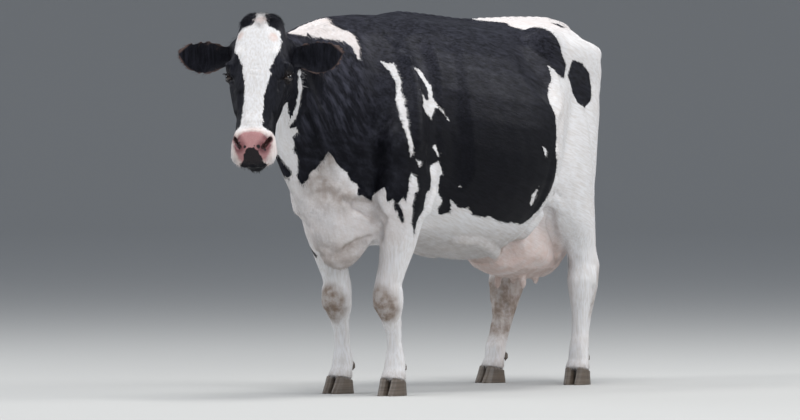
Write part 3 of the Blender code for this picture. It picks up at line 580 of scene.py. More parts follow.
# The side that is seen least, in the same manner.
BLACK_RIGHT = [
    rows(2, -1400, 1600, -340, 1600, -300, 1400, -360, 1280, -400, 1100, -470, 980, -500, 860, -580, 800, -660, 840,
         -720, 780, -800, 800, -860, 900, -940, 860, -1020, 920, -1050, 1040, -1100, 1100, -1400, 1100),
    rows(2, -120, 1600, 200, 1600, 240, 1420, 310, 1300, 300, 1160, 220, 1040, 200, 900, 100, 780, -40, 740,
         -150, 800, -200, 920, -280, 980, -300, 1080, -220, 1200, -200, 1320, -130, 1420),
    rows(2, 400, 1400, 460, 1440, 540, 1430, 560, 1360, 480, 1300, 410, 1320),
    rows(2, 520, 1060, 570, 1120, 630, 1100, 650, 1020, 720, 980, 730, 900, 680, 840, 660, 760, 600, 740, 580, 830,
         520, 880, 500, 970),
]
# Left and down on the face: the blaze, the bare nose, the black on it, and its small spots with their radii.
BLAZE = rows(
    2, -8, -60, -12, 0, -24, 46, -76, 60, -91, 93, -90, 141, -73, 179, -52, 217, -49, 256, -40, 297, -40, 356,
    -45, 416, -48, 455, -60, 475, -140, 490, -140, 700, 140, 700, 140, 490, 60, 478, 40, 462, 33, 431, 34, 389,
    36, 337, 44, 296, 54, 256, 53, 229, 62, 203, 78, 170, 85, 122, 78, 68, 34, 50, 14, 0, 7, -60)
NOSE = rows(
    2, 0, 484, -30, 488, -52, 498, -70, 514, -75, 535, -66, 565, -54, 588, -34, 602, 34, 602, 58, 588, 71, 565,
    79, 535, 74, 514, 56, 499, 30, 487)
NOSE_BLACK = rows(
    2, 4, 554, -10, 553, -20, 560, -23, 570, -30, 576, -31, 588, -40, 596, -60, 601, -62, 660, 74, 660, 72, 600,
    51, 596, 41, 588, 37, 578, 30, 574, 27, 562, 16, 559, 12, 551)
NOSE_SPOTS = rows(3, -24, 550, 5.5, 27, 549, 7, 47, 541, 6, 50, 556, 4.5, 38, 586, 3, -46, 533, 4, 12, 546, 2.5)
# The line between the sides along the neck (y, x), the black's edge on the throat (z, x) and the breast (x, z).
NECK_AXIS = rows(2, -1200, -100, -1000, -75, -800, -20, -600, 0)
THROAT = rows(
    2, 790, -46, 810, -47, 834, -53, 871, -47, 909, -49, 942, -54, 982, -53, 998, -36, 1054, -17, 1100, -12,
    1250, -30)
BREAST = rows(
    2, -60, 800, -39, 804, -26, 820, -22, 843, -10, 862, 8, 890, 21, 909, 33, 923, 43, 909, 48, 880, 68, 852, 84, 814,
    98, 800, 103, 781, 107, 756, 112, 764, 117, 755, 127, 740, 133, 742, 140, 762, 160, 776, 179, 783, 200, 791,
    206, 760, 212, 737)
# A white line behind the jaw; black under the throat, by the far foreleg and on the rump, as radius and path.
WHITE_LINE = rows(
    3, 4, -1111, 1225, 5, -1109, 1187, 2, -1105, 1150, -5, -1100, 1112, -15, -1095, 1082, -32, -1096, 1052,
    -50, -1094, 1022)
SPOTS_BELOW = [
    (27, 100, 655, 1430),
    (19, 88, 690, 1428, 62, 738, 1426),
    (20, -125, -1115, 925, -100, -1095, 885, -80, -1068, 846),
    (11, -215, -688, 557, -183, -701, 529),
]
# Creases by the brisket and forelegs and between the udder and the thigh, darkened along these paths: painted shade.
CREASE_SHADE_PATHS = [
    rows(3, 105, -858, 737, 126, -804, 729, 166, -805, 706, 177, -796, 678),
    rows(3, 105, -859, 723, 127, -796, 687, 147, -775, 639, 133, -757, 606),
    rows(3, 133, -757, 600, 103, -775, 592, 88, -832, 583, 65, -866, 565),
    rows(3, 320, 200, 710, 200, 430, 650, 168, 520, 580, 138, 594, 506, 130, 620, 480),
]
TAN_PATCH = rows(3, 15, -957, 890, 0, -971, 800, 67, -923, 755)
KNEES = rows(3, 140, -735, 345, -140, -655, 345)


def black_depth(points):
    """How far inside the black each point is, in metres; below nought it is white."""
    x, y, z = points.T
    over = ramp(z, 1.36, 1.42) * ramp(x, 0.14, 0.05)
    flank = columns(y + over * (0.040 * np.sin(21 * x + 1.9) + 0.018 * np.sin(58 * x)), z)
    left = outline_depth(flank, BLACK_LEFT)
    for outline in WHITE_LEFT:
        left = np.minimum(left, -outline_depth(flank, outline))
    for outline in SPOTS_LEFT:
        left = np.maximum(left, outline_depth(flank, outline))
    breast = 0.8 * (z - np.interp(x, *BREAST.T))
    left = np.where((y < -0.79) & (x < 0.205) & (z < 1.0), breast, left)
    throat = np.minimum(left, x - np.interp(z, *THROAT.T))
    left = np.where((y < -0.98) & (z < 1.25), throat, left)
    between_legs = (y < -0.72) & (x < 0.19) & (z < 0.745)
    left = np.where(between_legs, np.minimum(left, -0.01), left)
    # the right side: the outlines wander a little, white inside the thighs, black along the back
    bends = [np.sin(19 * z + 1.3) + 0.7 * np.sin(41 * z + 17 * y) + 0.4 * np.sin(97 * z + 3.1),
             np.sin(17 * y + 0.4) + 0.7 * np.sin(37 * y - 13 * z) + 0.4 * np.sin(89 * y)]
    bent = flank + 0.016 * columns(*bends)
    right = np.full(len(points), -1.0)
    for outline in BLACK_RIGHT:
        right = np.maximum(right, outline_depth(bent, outline))
    right = np.where(y > 0.4, np.minimum(right, -x - 0.12 + 0.5 * ramp(z, 1.15, 1.30)), right)
    right = np.maximum(right, np.minimum(z - 1.375 + 0.02 * np.sin(31 * y), 0.19 - flank[:, 0]))
    body = np.where(x > np.interp(y, *NECK_AXIS.T), left, right)
    # the head: white are the blaze and the jaw's underside, black the lips
    across, out, down = head_places(points).T
    face = columns(across, down)
    blaze = np.minimum(outline_depth(face, BLAZE), 0.10 + out)
    under = np.where(down > 0.24, np.minimum(-0.19 - out, 0.09 - np.abs(across)), -0.1)
    lips = np.where(down > 0.59, outline_depth(face, NOSE_BLACK), -1.0)
    lips = np.maximum(lips, np.minimum(-0.092 - out, down - 0.575))
    face = np.maximum(-np.maximum(blaze, under), lips)
    for radius, *path in SPOTS_BELOW:
        body = np.maximum(body, radius / 1000 - path_distance(points, rows(3, *path)))
    both = np.where(np.maximum(head_share(points), (np.abs(across) > 0.15) & (y < -1.0)) > 0.5, face, body)
    return np.minimum(both, path_distance(points, WHITE_LINE) - 0.0075)


def distance_to(points, *names):
    """How far each point is from the nearest of the solids of those names."""
    far = np.full(len(points), 9.0)
    for name in names:
        mesh = NODES[name].data
        faces = [face.vertices[:] for face in mesh.polygons]
        tree = BVHTree.FromPolygons((read_points(mesh) + ORIGIN).tolist(), faces)
        far = np.minimum(far, [tree.find_nearest(point)[3] for point in points.tolist()])
    return far


def nostril_fields(points):
    """How far each point is from the nostrils' rims, and from the hollows behind them."""
    rims, hollows = [], []
    for side in BOTH:
        rim = np.array(head_path(NOSTRIL, side))
        inward = -0.75 * unit(0.75 * HEAD_OUT + 0.65 * side * HEAD_LEFT) - 0.45 * HEAD_DOWN
        rims.append(rim)
        hollows += [rim + depth * inward for depth in (0.006, 0.011, 0.016, 0.020)]
    return nearest(points, rims), nearest(points, hollows)


def udder_tint(points):
    """How pink the skin of the udder is, fading out at the belly and the thighs."""
    x, y, z = points.T
    near = np.flatnonzero((y > 0.02) & between(z, 0.30, 0.90) & (np.abs(x) < 0.42))
    beside = [name for name in NODES if name.startswith(("gaskin", "hind_shank"))]
    bag = distance_to(points[near], "barrel", "hindquarters", *beside) - distance_to(points[near], "udder")
    udder = np.zeros(len(points))
    low = z[near]
    udder[near] = ramp(bag, -0.010, 0.022) * (0.35 + 0.50 * ramp(low, 0.70, 0.50)) * ramp(low, 0.88, 0.72)
    udder *= ramp(y, 0.87, 0.82)
    middle = 0.7 * ramp(y, 0.36, 0.46) * ramp(y, 0.86, 0.80) * ramp(np.abs(x), 0.17, 0.09) * ramp(z, 0.84, 0.58)
    return np.maximum(udder, middle)


def fields(points):
    """What the coat's material reads at each point: the black's depth and how much of each tint there is, painted
    shade and painted sheen among them.
    """
    x, y, z = points.T
    across, out, down = head_places(points).T
    part = regions(points)
    face = columns(across, down)
    nostril, hole = nostril_fields(points)
    nostril = np.minimum(nostril, hole)
    nose = np.minimum(np.maximum(outline_depth(face, NOSE), 0.017 - nostril), 0.095 + out)
    dark = outline_depth(face, NOSE_BLACK)
    for left, low, radius in NOSE_SPOTS:
        dark = np.maximum(dark, radius - np.hypot(across - left, down - low))
    dark = np.maximum(dark, np.minimum(-0.088 - out, down - 0.57))
    rims = nearest(points, [ear_rim(side, sign) for side in BOTH for sign in (1, -1)])
    rims = rims / np.maximum(part["ear"], 0.01)
    knees = np.minimum(*[sizes_of((points - knee) * (1.0, 0.8, 0.75)) for knee in KNEES])
    teats = at_teats(points, 0.462)
    udder = np.maximum(udder_tint(points), 0.9 * teats)
    # painted shade under the belly, and more of it under the brisket between the forelegs
    shade = ramp(z, 0.66, 0.57) * between(y, -0.55, 0.25)
    shade = shade + 1.4 * ramp(z, 0.63, 0.53) * (y < -0.70) * (1 - part["leg"])
    brisket = ramp(y, -0.66, -0.80) * ramp(z, 0.92, 0.62)
    tan = ramp(path_distance(points, TAN_PATCH), 0.10, 0.02)
    # painted shade in those creases
    crease_shade = ramp(nearest(points, CREASE_SHADE_PATHS), 0.030, 0.004)
    scars = [(-0.073, -0.013, 0.087), (0.057, -0.001, 0.098), (0.006, 0.000, 0.012)]
    scars = ramp(nearest(points, [[on_head(*spot)] for spot in scars]), 0.026, 0.010)
    loin = ramp(z, 1.38, 1.42) * ramp(y, 0.10, 0.25)
    crest = (z > 1.28) & between(y, -1.15, -0.8)
    hocks = sizes_of((points - (0.215, 0.72, 0.36)) * (1.2, 1.0, 0.5))
    back_leg = ramp(y, 0.55, 0.62) * ramp(z, 0.46, 0.40) * ramp(x, -0.10, -0.14) * ramp(z, 0.14, 0.22)
    coronet = ramp(z, 0.105, 0.070)
    gap = nearest(points, [head_path(MOUTH, side) for side in BOTH])
    eyes = nearest(points, [[centre] for centre in EYES.values()])
    return {
        "black": black_depth(points), "leg": part["leg"], "head": part["head"], "nose": nose, "spot": dark,
        # the ears' pale rims: pale hair, partly a painted rim light that sets the ears off from the neck
        "rim": ramp(rims, 0.014, 0.006), "edge": ramp(rims, 0.013, 0.006),
        "pink": np.clip(0.75 * udder + 0.18 * brisket + 0.15 * loin + 0.22 * crest
                        + 0.55 * scars + 0.5 * ramp(nose, -0.022, 0.0), 0, 1),
        # brown dirt on the knees, hocks, right hind shank, teats and coronets and a tan patch, with painted shade in
        # the creases and under the belly and brisket
        "dirt_and_shade": np.clip(1.25 * ramp(knees, 0.076, 0.034) + 0.95 * back_leg + 0.6 * ramp(hocks, 0.085, 0.045)
                        + 0.35 * teats + 0.35 * coronet + 0.70 * tan + 0.75 * crease_shade + 0.40 * shade, 0, 1),
        # the neck, weighted towards its top, where it also brightens the painted sheen
        "neck": ramp(y, -0.66, -0.90) * (1 - part["head"]) * (0.35 + 0.65 * ramp(z, 0.90, 1.10)),
        # lighter towards the top: painted sheen from above
        "painted_top_sheen": ramp(z, 0.92, 1.38) * (1 - 0.5 * part["head"]),
        "lids": ramp(eyes, 0.033, 0.024) * (out > -0.15) * (part["head"] > 0.5),
        # hole and gap also darken the nostril hollows and the mouth's slit: painted shade
        "hole": ramp(hole, 0.0105, 0.0075), "nostril": nostril, "gap": ramp(gap, 0.0045, 0.0022),
    }


def ear_rim(side, sign):
    """The upper (1) or lower (-1) edge of an ear."""
    base, tip = on_head(side * 0.075, -0.105, 0.120), on_head(side * 0.318 - 0.014, -0.135, 0.100)
    return [base + (tip - base) * share + UP * (sag + sign * half + 0.010 * (sign > 0) * (0.3 < share < 0.9))
            + HEADING * depth * 0.5 for share, half, depth, sag in EAR_STATIONS]


def set_field(mesh, name, values, repeat=1):
    values = np.repeat(np.asarray(values, dtype=np.float32), repeat, axis=0)
    vector = values.ndim == 2
    layer = mesh.attributes.new(name, "FLOAT_VECTOR" if vector else "FLOAT", "POINT")
    layer.data.foreach_set("vector" if vector else "value", values.ravel())


def mark(mesh, roots, values, repeat=1, shades=0.5):
    """Give a mesh the fields of its roots, each root's values to so many points in a row."""
    for name, numbers in {"root": roots, **values, "shade": np.broadcast_to(shades, len(roots))}.items():
        set_field(mesh, name, numbers, repeat)


class Nodes:
    """Short hand for building a material's node tree."""

    def __init__(self, name):
        self.material = bpy.data.materials.new(name)
        self.material.use_nodes = True
        self.tree = self.material.node_tree

    def fill(self, node, inputs):
        """Give a node's inputs numbers, vectors, colours, or the outputs of other nodes."""
        for key, value in inputs.items():
            slot = node.inputs[key]
            if isinstance(value, tuple):
                slot.default_value = (*value, 1.0)[:len(slot.default_value)]
            elif isinstance(value, (int, float)):
                slot.default_value = value
            else:
                self.tree.links.new(value, slot)
        return node

    def finish(self, inputs):
        self.fill(self.tree.nodes["Principled BSDF"], inputs)
        return self.material

    def add(self, kind, inputs, **settings):
        node = self.tree.nodes.new("ShaderNode" + kind)
        for key, value in settings.items():
            setattr(node, key, value)
        return self.fill(node, inputs)

    def field(self, name, output="Fac"):
        return self.add("Attribute", {}, attribute_name=name).outputs[output]

    def sum(self, kind, *terms):
        return self.add("Math", dict(enumerate(terms)), operation=kind).outputs[0]

    def times(self, first, second):
        return self.sum("MULTIPLY", first, second)

    def vary(self, value, noise, amount):
        """A value that a noise moves up and down."""
        return self.sum("MULTIPLY_ADD", self.sum("SUBTRACT", noise, 0.5), amount, value)

    def ramp(self, value, start, end, low=0.0, high=1.0):
        limits = {"Value": value, "From Min": start, "From Max": end, "To Min": low, "To Max": high}
        return self.add("MapRange", limits, interpolation_type="SMOOTHSTEP", clamp=True).outputs["Result"]

    def mapped(self, vector, scale):
        return self.add("Mapping", {"Vector": vector, "Scale": scale}).outputs["Vector"]

    def noise(self, vector, scale, detail=2.0, roughness=0.5):
        looks = {"Vector": vector, "Scale": scale, "Detail": detail, "Roughness": roughness}
        return self.add("TexNoise", looks).outputs["Fac"]

    def layers(self, colour, *others):
        """A colour with others laid over it, each given after its share."""
        for share, other in others:
            colour = self.add("Mix", {0: share, 6: colour, 7: other}, data_type="RGBA").outputs[2]
        return colour

    def blend(self, share, first, second):
        """The first number, with a share of the second in it."""
        return self.add("Mix", {0: share, 2: first, 3: second}).outputs[0]

    def bump(self, height, strength, distance):
        return self.add("Bump", {"Height": height, "Strength": strength, "Distance": distance}).outputs["Normal"]


# BLACK_SHEEN is a painted sheen, laid in streaks over the black hair
BLACK_HAIR, BLACK_SHEEN = (0.0014, 0.0014, 0.0024), (0.024, 0.0245, 0.035)
WHITE_HAIR, WHITE_SHADE = (0.715, 0.715, 0.735), (0.61, 0.59, 0.58)


def coat_material():
    n = Nodes("coat")
    spot = n.field("root", "Vector")
    neck, painted_top_sheen, shade, lids = map(n.field, ("neck", "painted_top_sheen", "shade", "lids"))
    limbs = n.sum("MAXIMUM", n.field("head"), n.field("leg"))

    def grain(turn, rate, detail):
        """Noise drawn out along the Y axis, once the places have been turned about the X axis."""
        turned = n.add("VectorRotate", {"Vector": spot, "Angle": turn}, rotation_type="X_AXIS")
        return n.noise(n.mapped(turned.outputs["Vector"], (1.0, 0.09, 1.0)), rate, detail, 0.6)

    def along(rate, detail=2.0):
        """The same along the lie of the coat: back on the trunk, down on the neck, the legs and the face."""
        trunk = n.blend(neck, grain(0.27, rate, detail), grain(0.95, rate, detail))
        return n.blend(limbs, trunk, grain(1.50, rate, detail))

    edge = n.vary(n.vary(n.field("black"), n.noise(spot, 38.0, 3.0, 0.6), 0.019), along(300.0), 0.022)
    black = n.ramp(edge, -0.0012, 0.0012)
    strand = along(48.0, 4.0)
    streak = n.sum("ADD", along(150.0, 3.0), n.sum("MULTIPLY_ADD", shade, 0.24, -0.12))
    patchy = n.noise(spot, 6.0, 4.0, 0.6)
    blotch = n.noise(spot, 26.0, 3.0, 0.6)
    # painted sheen on the black: its streaks grow stronger towards the top, and lighter streaks run down the upper
    # neck
    dark = n.layers(
        BLACK_HAIR,
        (n.times(n.ramp(streak, 0.30, 0.75), n.blend(painted_top_sheen, 0.15, 1.0)), BLACK_SHEEN),
        (n.times(n.ramp(strand, 0.42, 0.72), n.blend(neck, n.times(painted_top_sheen, 0.3), 1.0)), (0.048, 0.049, 0.067)),
        (n.ramp(patchy, 0.55, 0.80, 0.0, 0.30), (0.012, 0.011, 0.013)))
    pink = n.times(n.field("pink"), n.ramp(blotch, 0.20, 0.75, 0.45, 1.0))
    # brown dirt, with painted shade in the creases and under the belly and brisket
    dirt_and_shade = n.times(n.field("dirt_and_shade"), n.ramp(blotch, 0.30, 0.70, 0.50, 1.0))
    light = n.layers(
        WHITE_SHADE,
        (n.ramp(streak, 0.30, 0.68), WHITE_HAIR),
        (n.ramp(patchy, 0.45, 0.8, 0.0, 0.16), (0.62, 0.50, 0.42)),
        (n.times(pink, 0.85), (0.60, 0.36, 0.28)),
        (dirt_and_shade, (0.215, 0.160, 0.125)))
    nose = n.vary(n.field("nose"), n.noise(spot, 160.0, 3.0, 0.6), 0.010)
    bare = n.ramp(nose, -0.003, 0.004)
    pebbles = n.add("TexVoronoi", {"Vector": spot, "Scale": 420.0}).outputs["Distance"]
    pebbles = n.ramp(pebbles, 0.05, 0.50, 1.0, 0.0)
    flesh = n.layers(
        (0.37, 0.205, 0.215),
        (n.noise(spot, 60.0, 3.0, 0.6), (0.50, 0.31, 0.315)),
        (n.ramp(n.field("nostril"), 0.034, 0.011), (0.105, 0.055, 0.070)),
        (n.ramp(pebbles, 0.0, 0.5, 0.35, 0.0), (0.36, 0.12, 0.10)),
        (n.ramp(n.vary(n.field("spot"), n.noise(spot, 230.0), 0.006), -0.0012, 0.0012), (0.022, 0.018, 0.019)),
        # painted shade in the nostril hollows
        (n.field("hole"), (0.030, 0.010, 0.009)))
    colour = n.layers(
        light,
        (black, dark),
        # pale rims of the ears: pale hair, partly a painted rim light
        (n.times(n.field("rim"), 0.48), (0.32, 0.215, 0.185)),
        (n.times(lids, 0.8), (0.016, 0.013, 0.012)),
        (n.ramp(nose, -0.002, 0.011), flesh),
        # painted shade in the mouth's slit
        (n.field("gap"), (0.020, 0.008, 0.007)))
    rough = n.vary(n.sum("MULTIPLY_ADD", black, -0.10, 0.60), strand, -0.25)
    wet = n.sum("MAXIMUM", bare, n.times(lids, 0.5))
    hair = n.sum("ADD", n.times(streak, 0.6), n.times(strand, 0.9))
    height = n.blend(bare, hair, n.times(pebbles, 0.45))
    return n.finish({
        "Base Color": colour, "Roughness": n.blend(wet, rough, 0.30), "Normal": n.bump(height, 0.55, 0.0022),
        "Specular IOR Level": 0.13, "Specular Tint": (0.82, 0.86, 1.0)})


def eye_material():
    n = Nodes("eyeball")
    iris, pupil = n.field("iris"), n.field("pupil")
    rays = n.noise(n.field("root", "Vector"), 900.0)
    brown = n.layers((0.012, 0.006, 0.004), (rays, (0.042, 0.018, 0.009)))
    colour = n.layers(
        (0.040, 0.024, 0.018),
        (n.ramp(iris, -0.10, -0.30), (0.22, 0.16, 0.14)),
        (n.ramp(iris, -0.04, 0.03), brown),
        (n.ramp(pupil, -0.03, 0.03), (0.004, 0.005, 0.009)))
    return n.finish({"Base Color": colour, "Roughness": 0.05, "Coat Weight": 0.6, "Coat Roughness": 0.02})


def horn_material():
    n = Nodes("horn")
    place = n.add("TexCoord", {}).outputs["Object"]
    rings = n.noise(n.mapped(place, (0.20, 0.20, 6.0)), 26.0)
    grain = n.noise(n.mapped(place, (6.0, 6.0, 0.5)), 36.0)
    blotch = n.noise(place, 20.0, 3.0)
    colour = n.layers(
        (0.080, 0.063, 0.051),
        (n.ramp(rings, 0.30, 0.70), (0.140, 0.113, 0.090)),
        (n.ramp(grain, 0.52, 0.80, 0.0, 0.22), (0.21, 0.17, 0.135)),
        (n.ramp(blotch, 0.45, 0.72, 0.0, 0.6), (0.100, 0.072, 0.052)))
    return n.finish({"Base Color": colour, "Roughness": 0.42, "Normal": n.bump(rings, 0.20, 0.0008)})


# ---------------- the coat's locks
LOCK_DEPTH = 0.40  # how thick a lock is, as a share of its width
LASHES, SWITCH_LOCKS = 90, 2600


def mesh_of(name, points, triangles):
    mesh = bpy.data.meshes.new(name)
    mesh.vertices.add(len(points))
    mesh.vertices.foreach_set("co", points.astype(np.float32).ravel())
    mesh.loops.add(triangles.size)
    mesh.loops.foreach_set("vertex_index", triangles.astype(np.int32).ravel())
    mesh.polygons.add(len(triangles))
    mesh.polygons.foreach_set("loop_start", np.arange(0, triangles.size, 3, dtype=np.int32))
    mesh.update(calc_edges=True)
    return mesh


def unwrap(roots, normals):
    """Where roots lie on a chart of the skin: six views, one for each way that it faces, in two rows."""
    axis = np.abs(normals).argmax(axis=1)
    facing = axis * 2 + (normals[np.arange(len(roots)), axis] > 0)
    others = np.array([(1, 2), (0, 2), (0, 1)])[axis]
    flat = np.take_along_axis(roots, others, axis=1)
    low = roots.min(axis=0)
    size = (roots.max(axis=0) - low).max()
    flat = (flat - np.take(low, others)) / size * 0.30 + 0.0165
    return flat + columns((facing % 3) / 3.0, (facing // 3) / 2.0)


def make_locks(name, roots, normals, values, lies, lengths, widths, lift, press=0.0, droop=0.0, wave=0.0,
               sink=0.0010, segments=1, own_normals=False):
    """Closed tapering locks of hair that start at the roots and follow the lies."""
    count, corners = len(roots), 3 * segments + 1
    lengths, widths, lift = (np.broadcast_to(np.asarray(value, dtype=float), (count,))[:, None]
                             for value in (lengths, widths, lift))
    across = unit(np.cross(normals, lies))
    phase = RNG.uniform(0, 2 * math.pi, (count, 1))
    swing = RNG.normal(0, 1, (count, 1))
    points = np.empty((count, corners, 3))
    facing = np.empty_like(points)
    chart = np.empty((corners, 2))
    for step, share in enumerate(np.linspace(0.0, 1.0, segments + 1)):
        rise = lift * lengths * (share - press * share * share)
        centre = roots - normals * sink + lies * lengths * share * (1 - 0.35 * droop * share) + normals * rise
        centre = centre - UP * (lengths * droop * share * share)
        bend = wave * lengths * share * (np.sin(4.5 * share + phase) - np.sin(phase) + 0.5 * swing)
        centre = centre + across * bend
        if step == segments:
            points[:, -1], facing[:, -1], chart[-1] = centre, normals, (0.5, 0.0)
            continue
        half = 0.5 * widths * (1.0 - share) ** 0.7 * (1.0 if segments == 1 else 0.75 + 0.9 * share)
        for corner, (side, up) in enumerate(((-1, 0), (1, 0), (0, 1)), 3 * step):
            points[:, corner] = centre + half * (side * across + 2 * up * LOCK_DEPTH * normals)
            facing[:, corner] = side * across * 0.6 + normals
            chart[corner] = share - 0.5, side * 0.5
    one = [(0, 2, 1)]
    for step in range(segments):
        for corner in range(3):
            a, b = 3 * step + corner, 3 * step + (corner + 1) % 3
            one += [(a, b, a + 3), (b, b + 3, a + 3)] if step < segments - 1 else [(a, b, corners - 1)]
    triangles = (np.arange(count)[:, None, None] * corners + np.array(one)).reshape(-1, 3)
    mesh = mesh_of(name, points.reshape(-1, 3), triangles)
    mark(mesh, roots, values, corners, RNG.uniform(0, 1, count))
    spots = unwrap(roots, normals)[:, None, :] + 0.003 * chart
    layer = mesh.uv_layers.new(name="OFBake")
    layer.data.foreach_set("uv", spots.reshape(-1, 2)[triangles.ravel()].astype(np.float32).ravel())
    mesh.shade_smooth()
    if not own_normals:
        mesh.normals_split_custom_set_from_vertices(unit(facing.reshape(-1, 3)))
    return add_object(name, mesh)


def lie_of_coat(points, normals, spread):
    """The way the hair points, along the skin."""
    _, y, z = points.T
    part = regions(points)
    count = len(points)

    def turn(ways, share, way):
        return ways * (1 - share[:, None]) + share[:, None] * way

    trunk = np.tile([0.0, 1.0, -0.28], (count, 1))
    trunk = turn(trunk, ramp(y, -0.66, -0.90), np.array([0.0, 0.62, -0.78]))
    trunk = turn(trunk, ramp(y, -0.72, -0.92) * ramp(z, 1.0, 0.75), np.array([0.0, 0.25, -1.0]))
    trunk = turn(trunk, ramp(y, 0.62, 0.80), np.array([0.0, 0.35, -1.0]))
    left, out, down = head_places(points).T
    side = np.sign(left)
    away = unit(columns(left * 1.5, -0.45 * np.abs(left) * 3.0, down - 0.235))
    behind = columns(0.15 * side, -0.55, 0.75)
    face = turn(away, ramp(out, -0.02, -0.10), behind) @ HEAD_AXES.T
    ear = columns(side, -0.10, -0.08) @ HEAD_AXES.T
    lies = unit(trunk)
    for name, way in (("leg", np.tile([0.0, 0.16, -1.0], (count, 1))), ("head", face), ("ear", ear)):
        lies = turn(lies, part[name], unit(way))
    lies = turn(lies, part["tail"], np.array([0.0, 0.1, -1.0]))
    lies = lies + RNG.normal(0, spread, lies.shape)
    return unit(flatten(lies, normals))


def flatten(ways, normals):
    """The ways without their parts along the normals."""
    return ways - normals * (ways * normals).sum(axis=1, keepdims=True)


class Surface:
    """The finished skin's triangles and fields, for scattering roots on."""

    def __init__(self, mesh):
        mesh.calc_loop_triangles()
        self.corners = read(mesh.loop_triangles, "vertices", 3, np.int32)
        self.points = read_points(mesh)
        normals = read_normals(mesh)
        self.normals = unit(relax(normals, read_edges(mesh), np.ones(len(normals)), 4, keep_volume=False))
        a, b, c = (self.points[self.corners[:, k]] for k in range(3))
        self.areas = 0.5 * sizes_of(np.cross(b - a, c - a))
        self.values = fields(self.points)
        self.part = regions(self.points)
        self.bare = bare_places(self.points, self.values)

    def scatter(self, density):
        """Random roots, with the density in locks per square metre given for each point of the skin."""
        wanted = self.areas * (density * ~self.bare)[self.corners].mean(axis=1)
        total = int(RNG.poisson(wanted.sum()))
        picks = np.sort(RNG.choice(len(wanted), total, p=wanted / wanted.sum()))
        mix = RNG.dirichlet((1, 1, 1), total)
        chosen = self.corners[picks]
        roots, normals = ((table[chosen] * mix[:, :, None]).sum(axis=1) for table in (self.points, self.normals))
        return roots, unit(normals), {name: (row[chosen] * mix).sum(axis=1) for name, row in self.values.items()}


def bare_places(points, values):
    """Where no hair grows: the nose, the nostrils, the mouth, the eyes' openings, the teats, under the claws."""
    bare = (values["nose"] > -0.002) | (values["hole"] > 0.2) | (values["gap"] > 0.2)
    for side in BOTH:
        centre, *axes = eye_frame(side)
        arms = points - centre
        open_lids = lid_depth(*eye_angles(arms, *axes)) > -0.10
        bare |= (sizes_of(arms) < 0.040) & (arms @ axes[0] > 0) & open_lids
    return bare | at_teats(points, 0.455) | (points[:, 2] < 0.065)


def grow_short_coat(surface, coat):
    """Short locks over the whole body, thickest where the coat breaks the form."""
    x, _, z = surface.points.T
    _, out, _ = head_places(surface.points).T
    part, facing = surface.part, surface.normals
    edge = ramp(np.abs(surface.values["black"]), 0.022, 0.006)
    top = ramp(facing[:, 2], 0.55, 0.85) * (z > 1.2)
    under = ramp(facing[:, 2], -0.3, -0.7)
    front = ramp(facing[:, 1], -0.3, -0.7) * (z < 1.1)
    trunk = part["head"] + part["ear"] + part["leg"] < 0.5
    leg = (part["leg"] >= 0.5) & (part["head"] < 0.5)
    head = (part["head"] >= 0.5) & ~leg & (part["ear"] < 0.5)
    body = 12000 + 42000 * edge + 9000 * (top + under + front)
    face = 70000 - 20000 * ramp(out, -0.06, -0.14) + 60000 * edge
    for name, slot, density, length, width, spread in (
            ("coat_left", "body_coat", body * trunk * (x > 0), 0.0140, 0.0013, 0.18),
            ("coat_right", "body_coat", body * trunk * (x <= 0), 0.0140, 0.0013, 0.18),
            ("coat_legs", "leg_coat", leg * (28000 + 30000 * ramp(z, 0.20, 0.10)), 0.0090, 0.0011, 0.18),
            ("coat_head", "head_coat", head * face, 0.0055, 0.0008, 0.12),
            ("coat_ears", "ear", (part["ear"] >= 0.5) * 60000, 0.0080, 0.0009, 0.15)):
        roots, normals, values = surface.scatter(density)
        _, depth, low = head_places(roots).T
        length = length + (name == "coat_head") * (0.004 * ramp(depth, -0.06, -0.18) + 0.0025 * ramp(low, 0.12, 0.02))
        sizes = RNG.uniform(0.75, 1.25, len(roots))
        item = make_locks(name, roots, normals, values, lie_of_coat(roots, normals, spread), length * sizes,
                          width * sizes, lift=0.06, sink=0.0005)
        present(item, coat, slot, smooth=False)


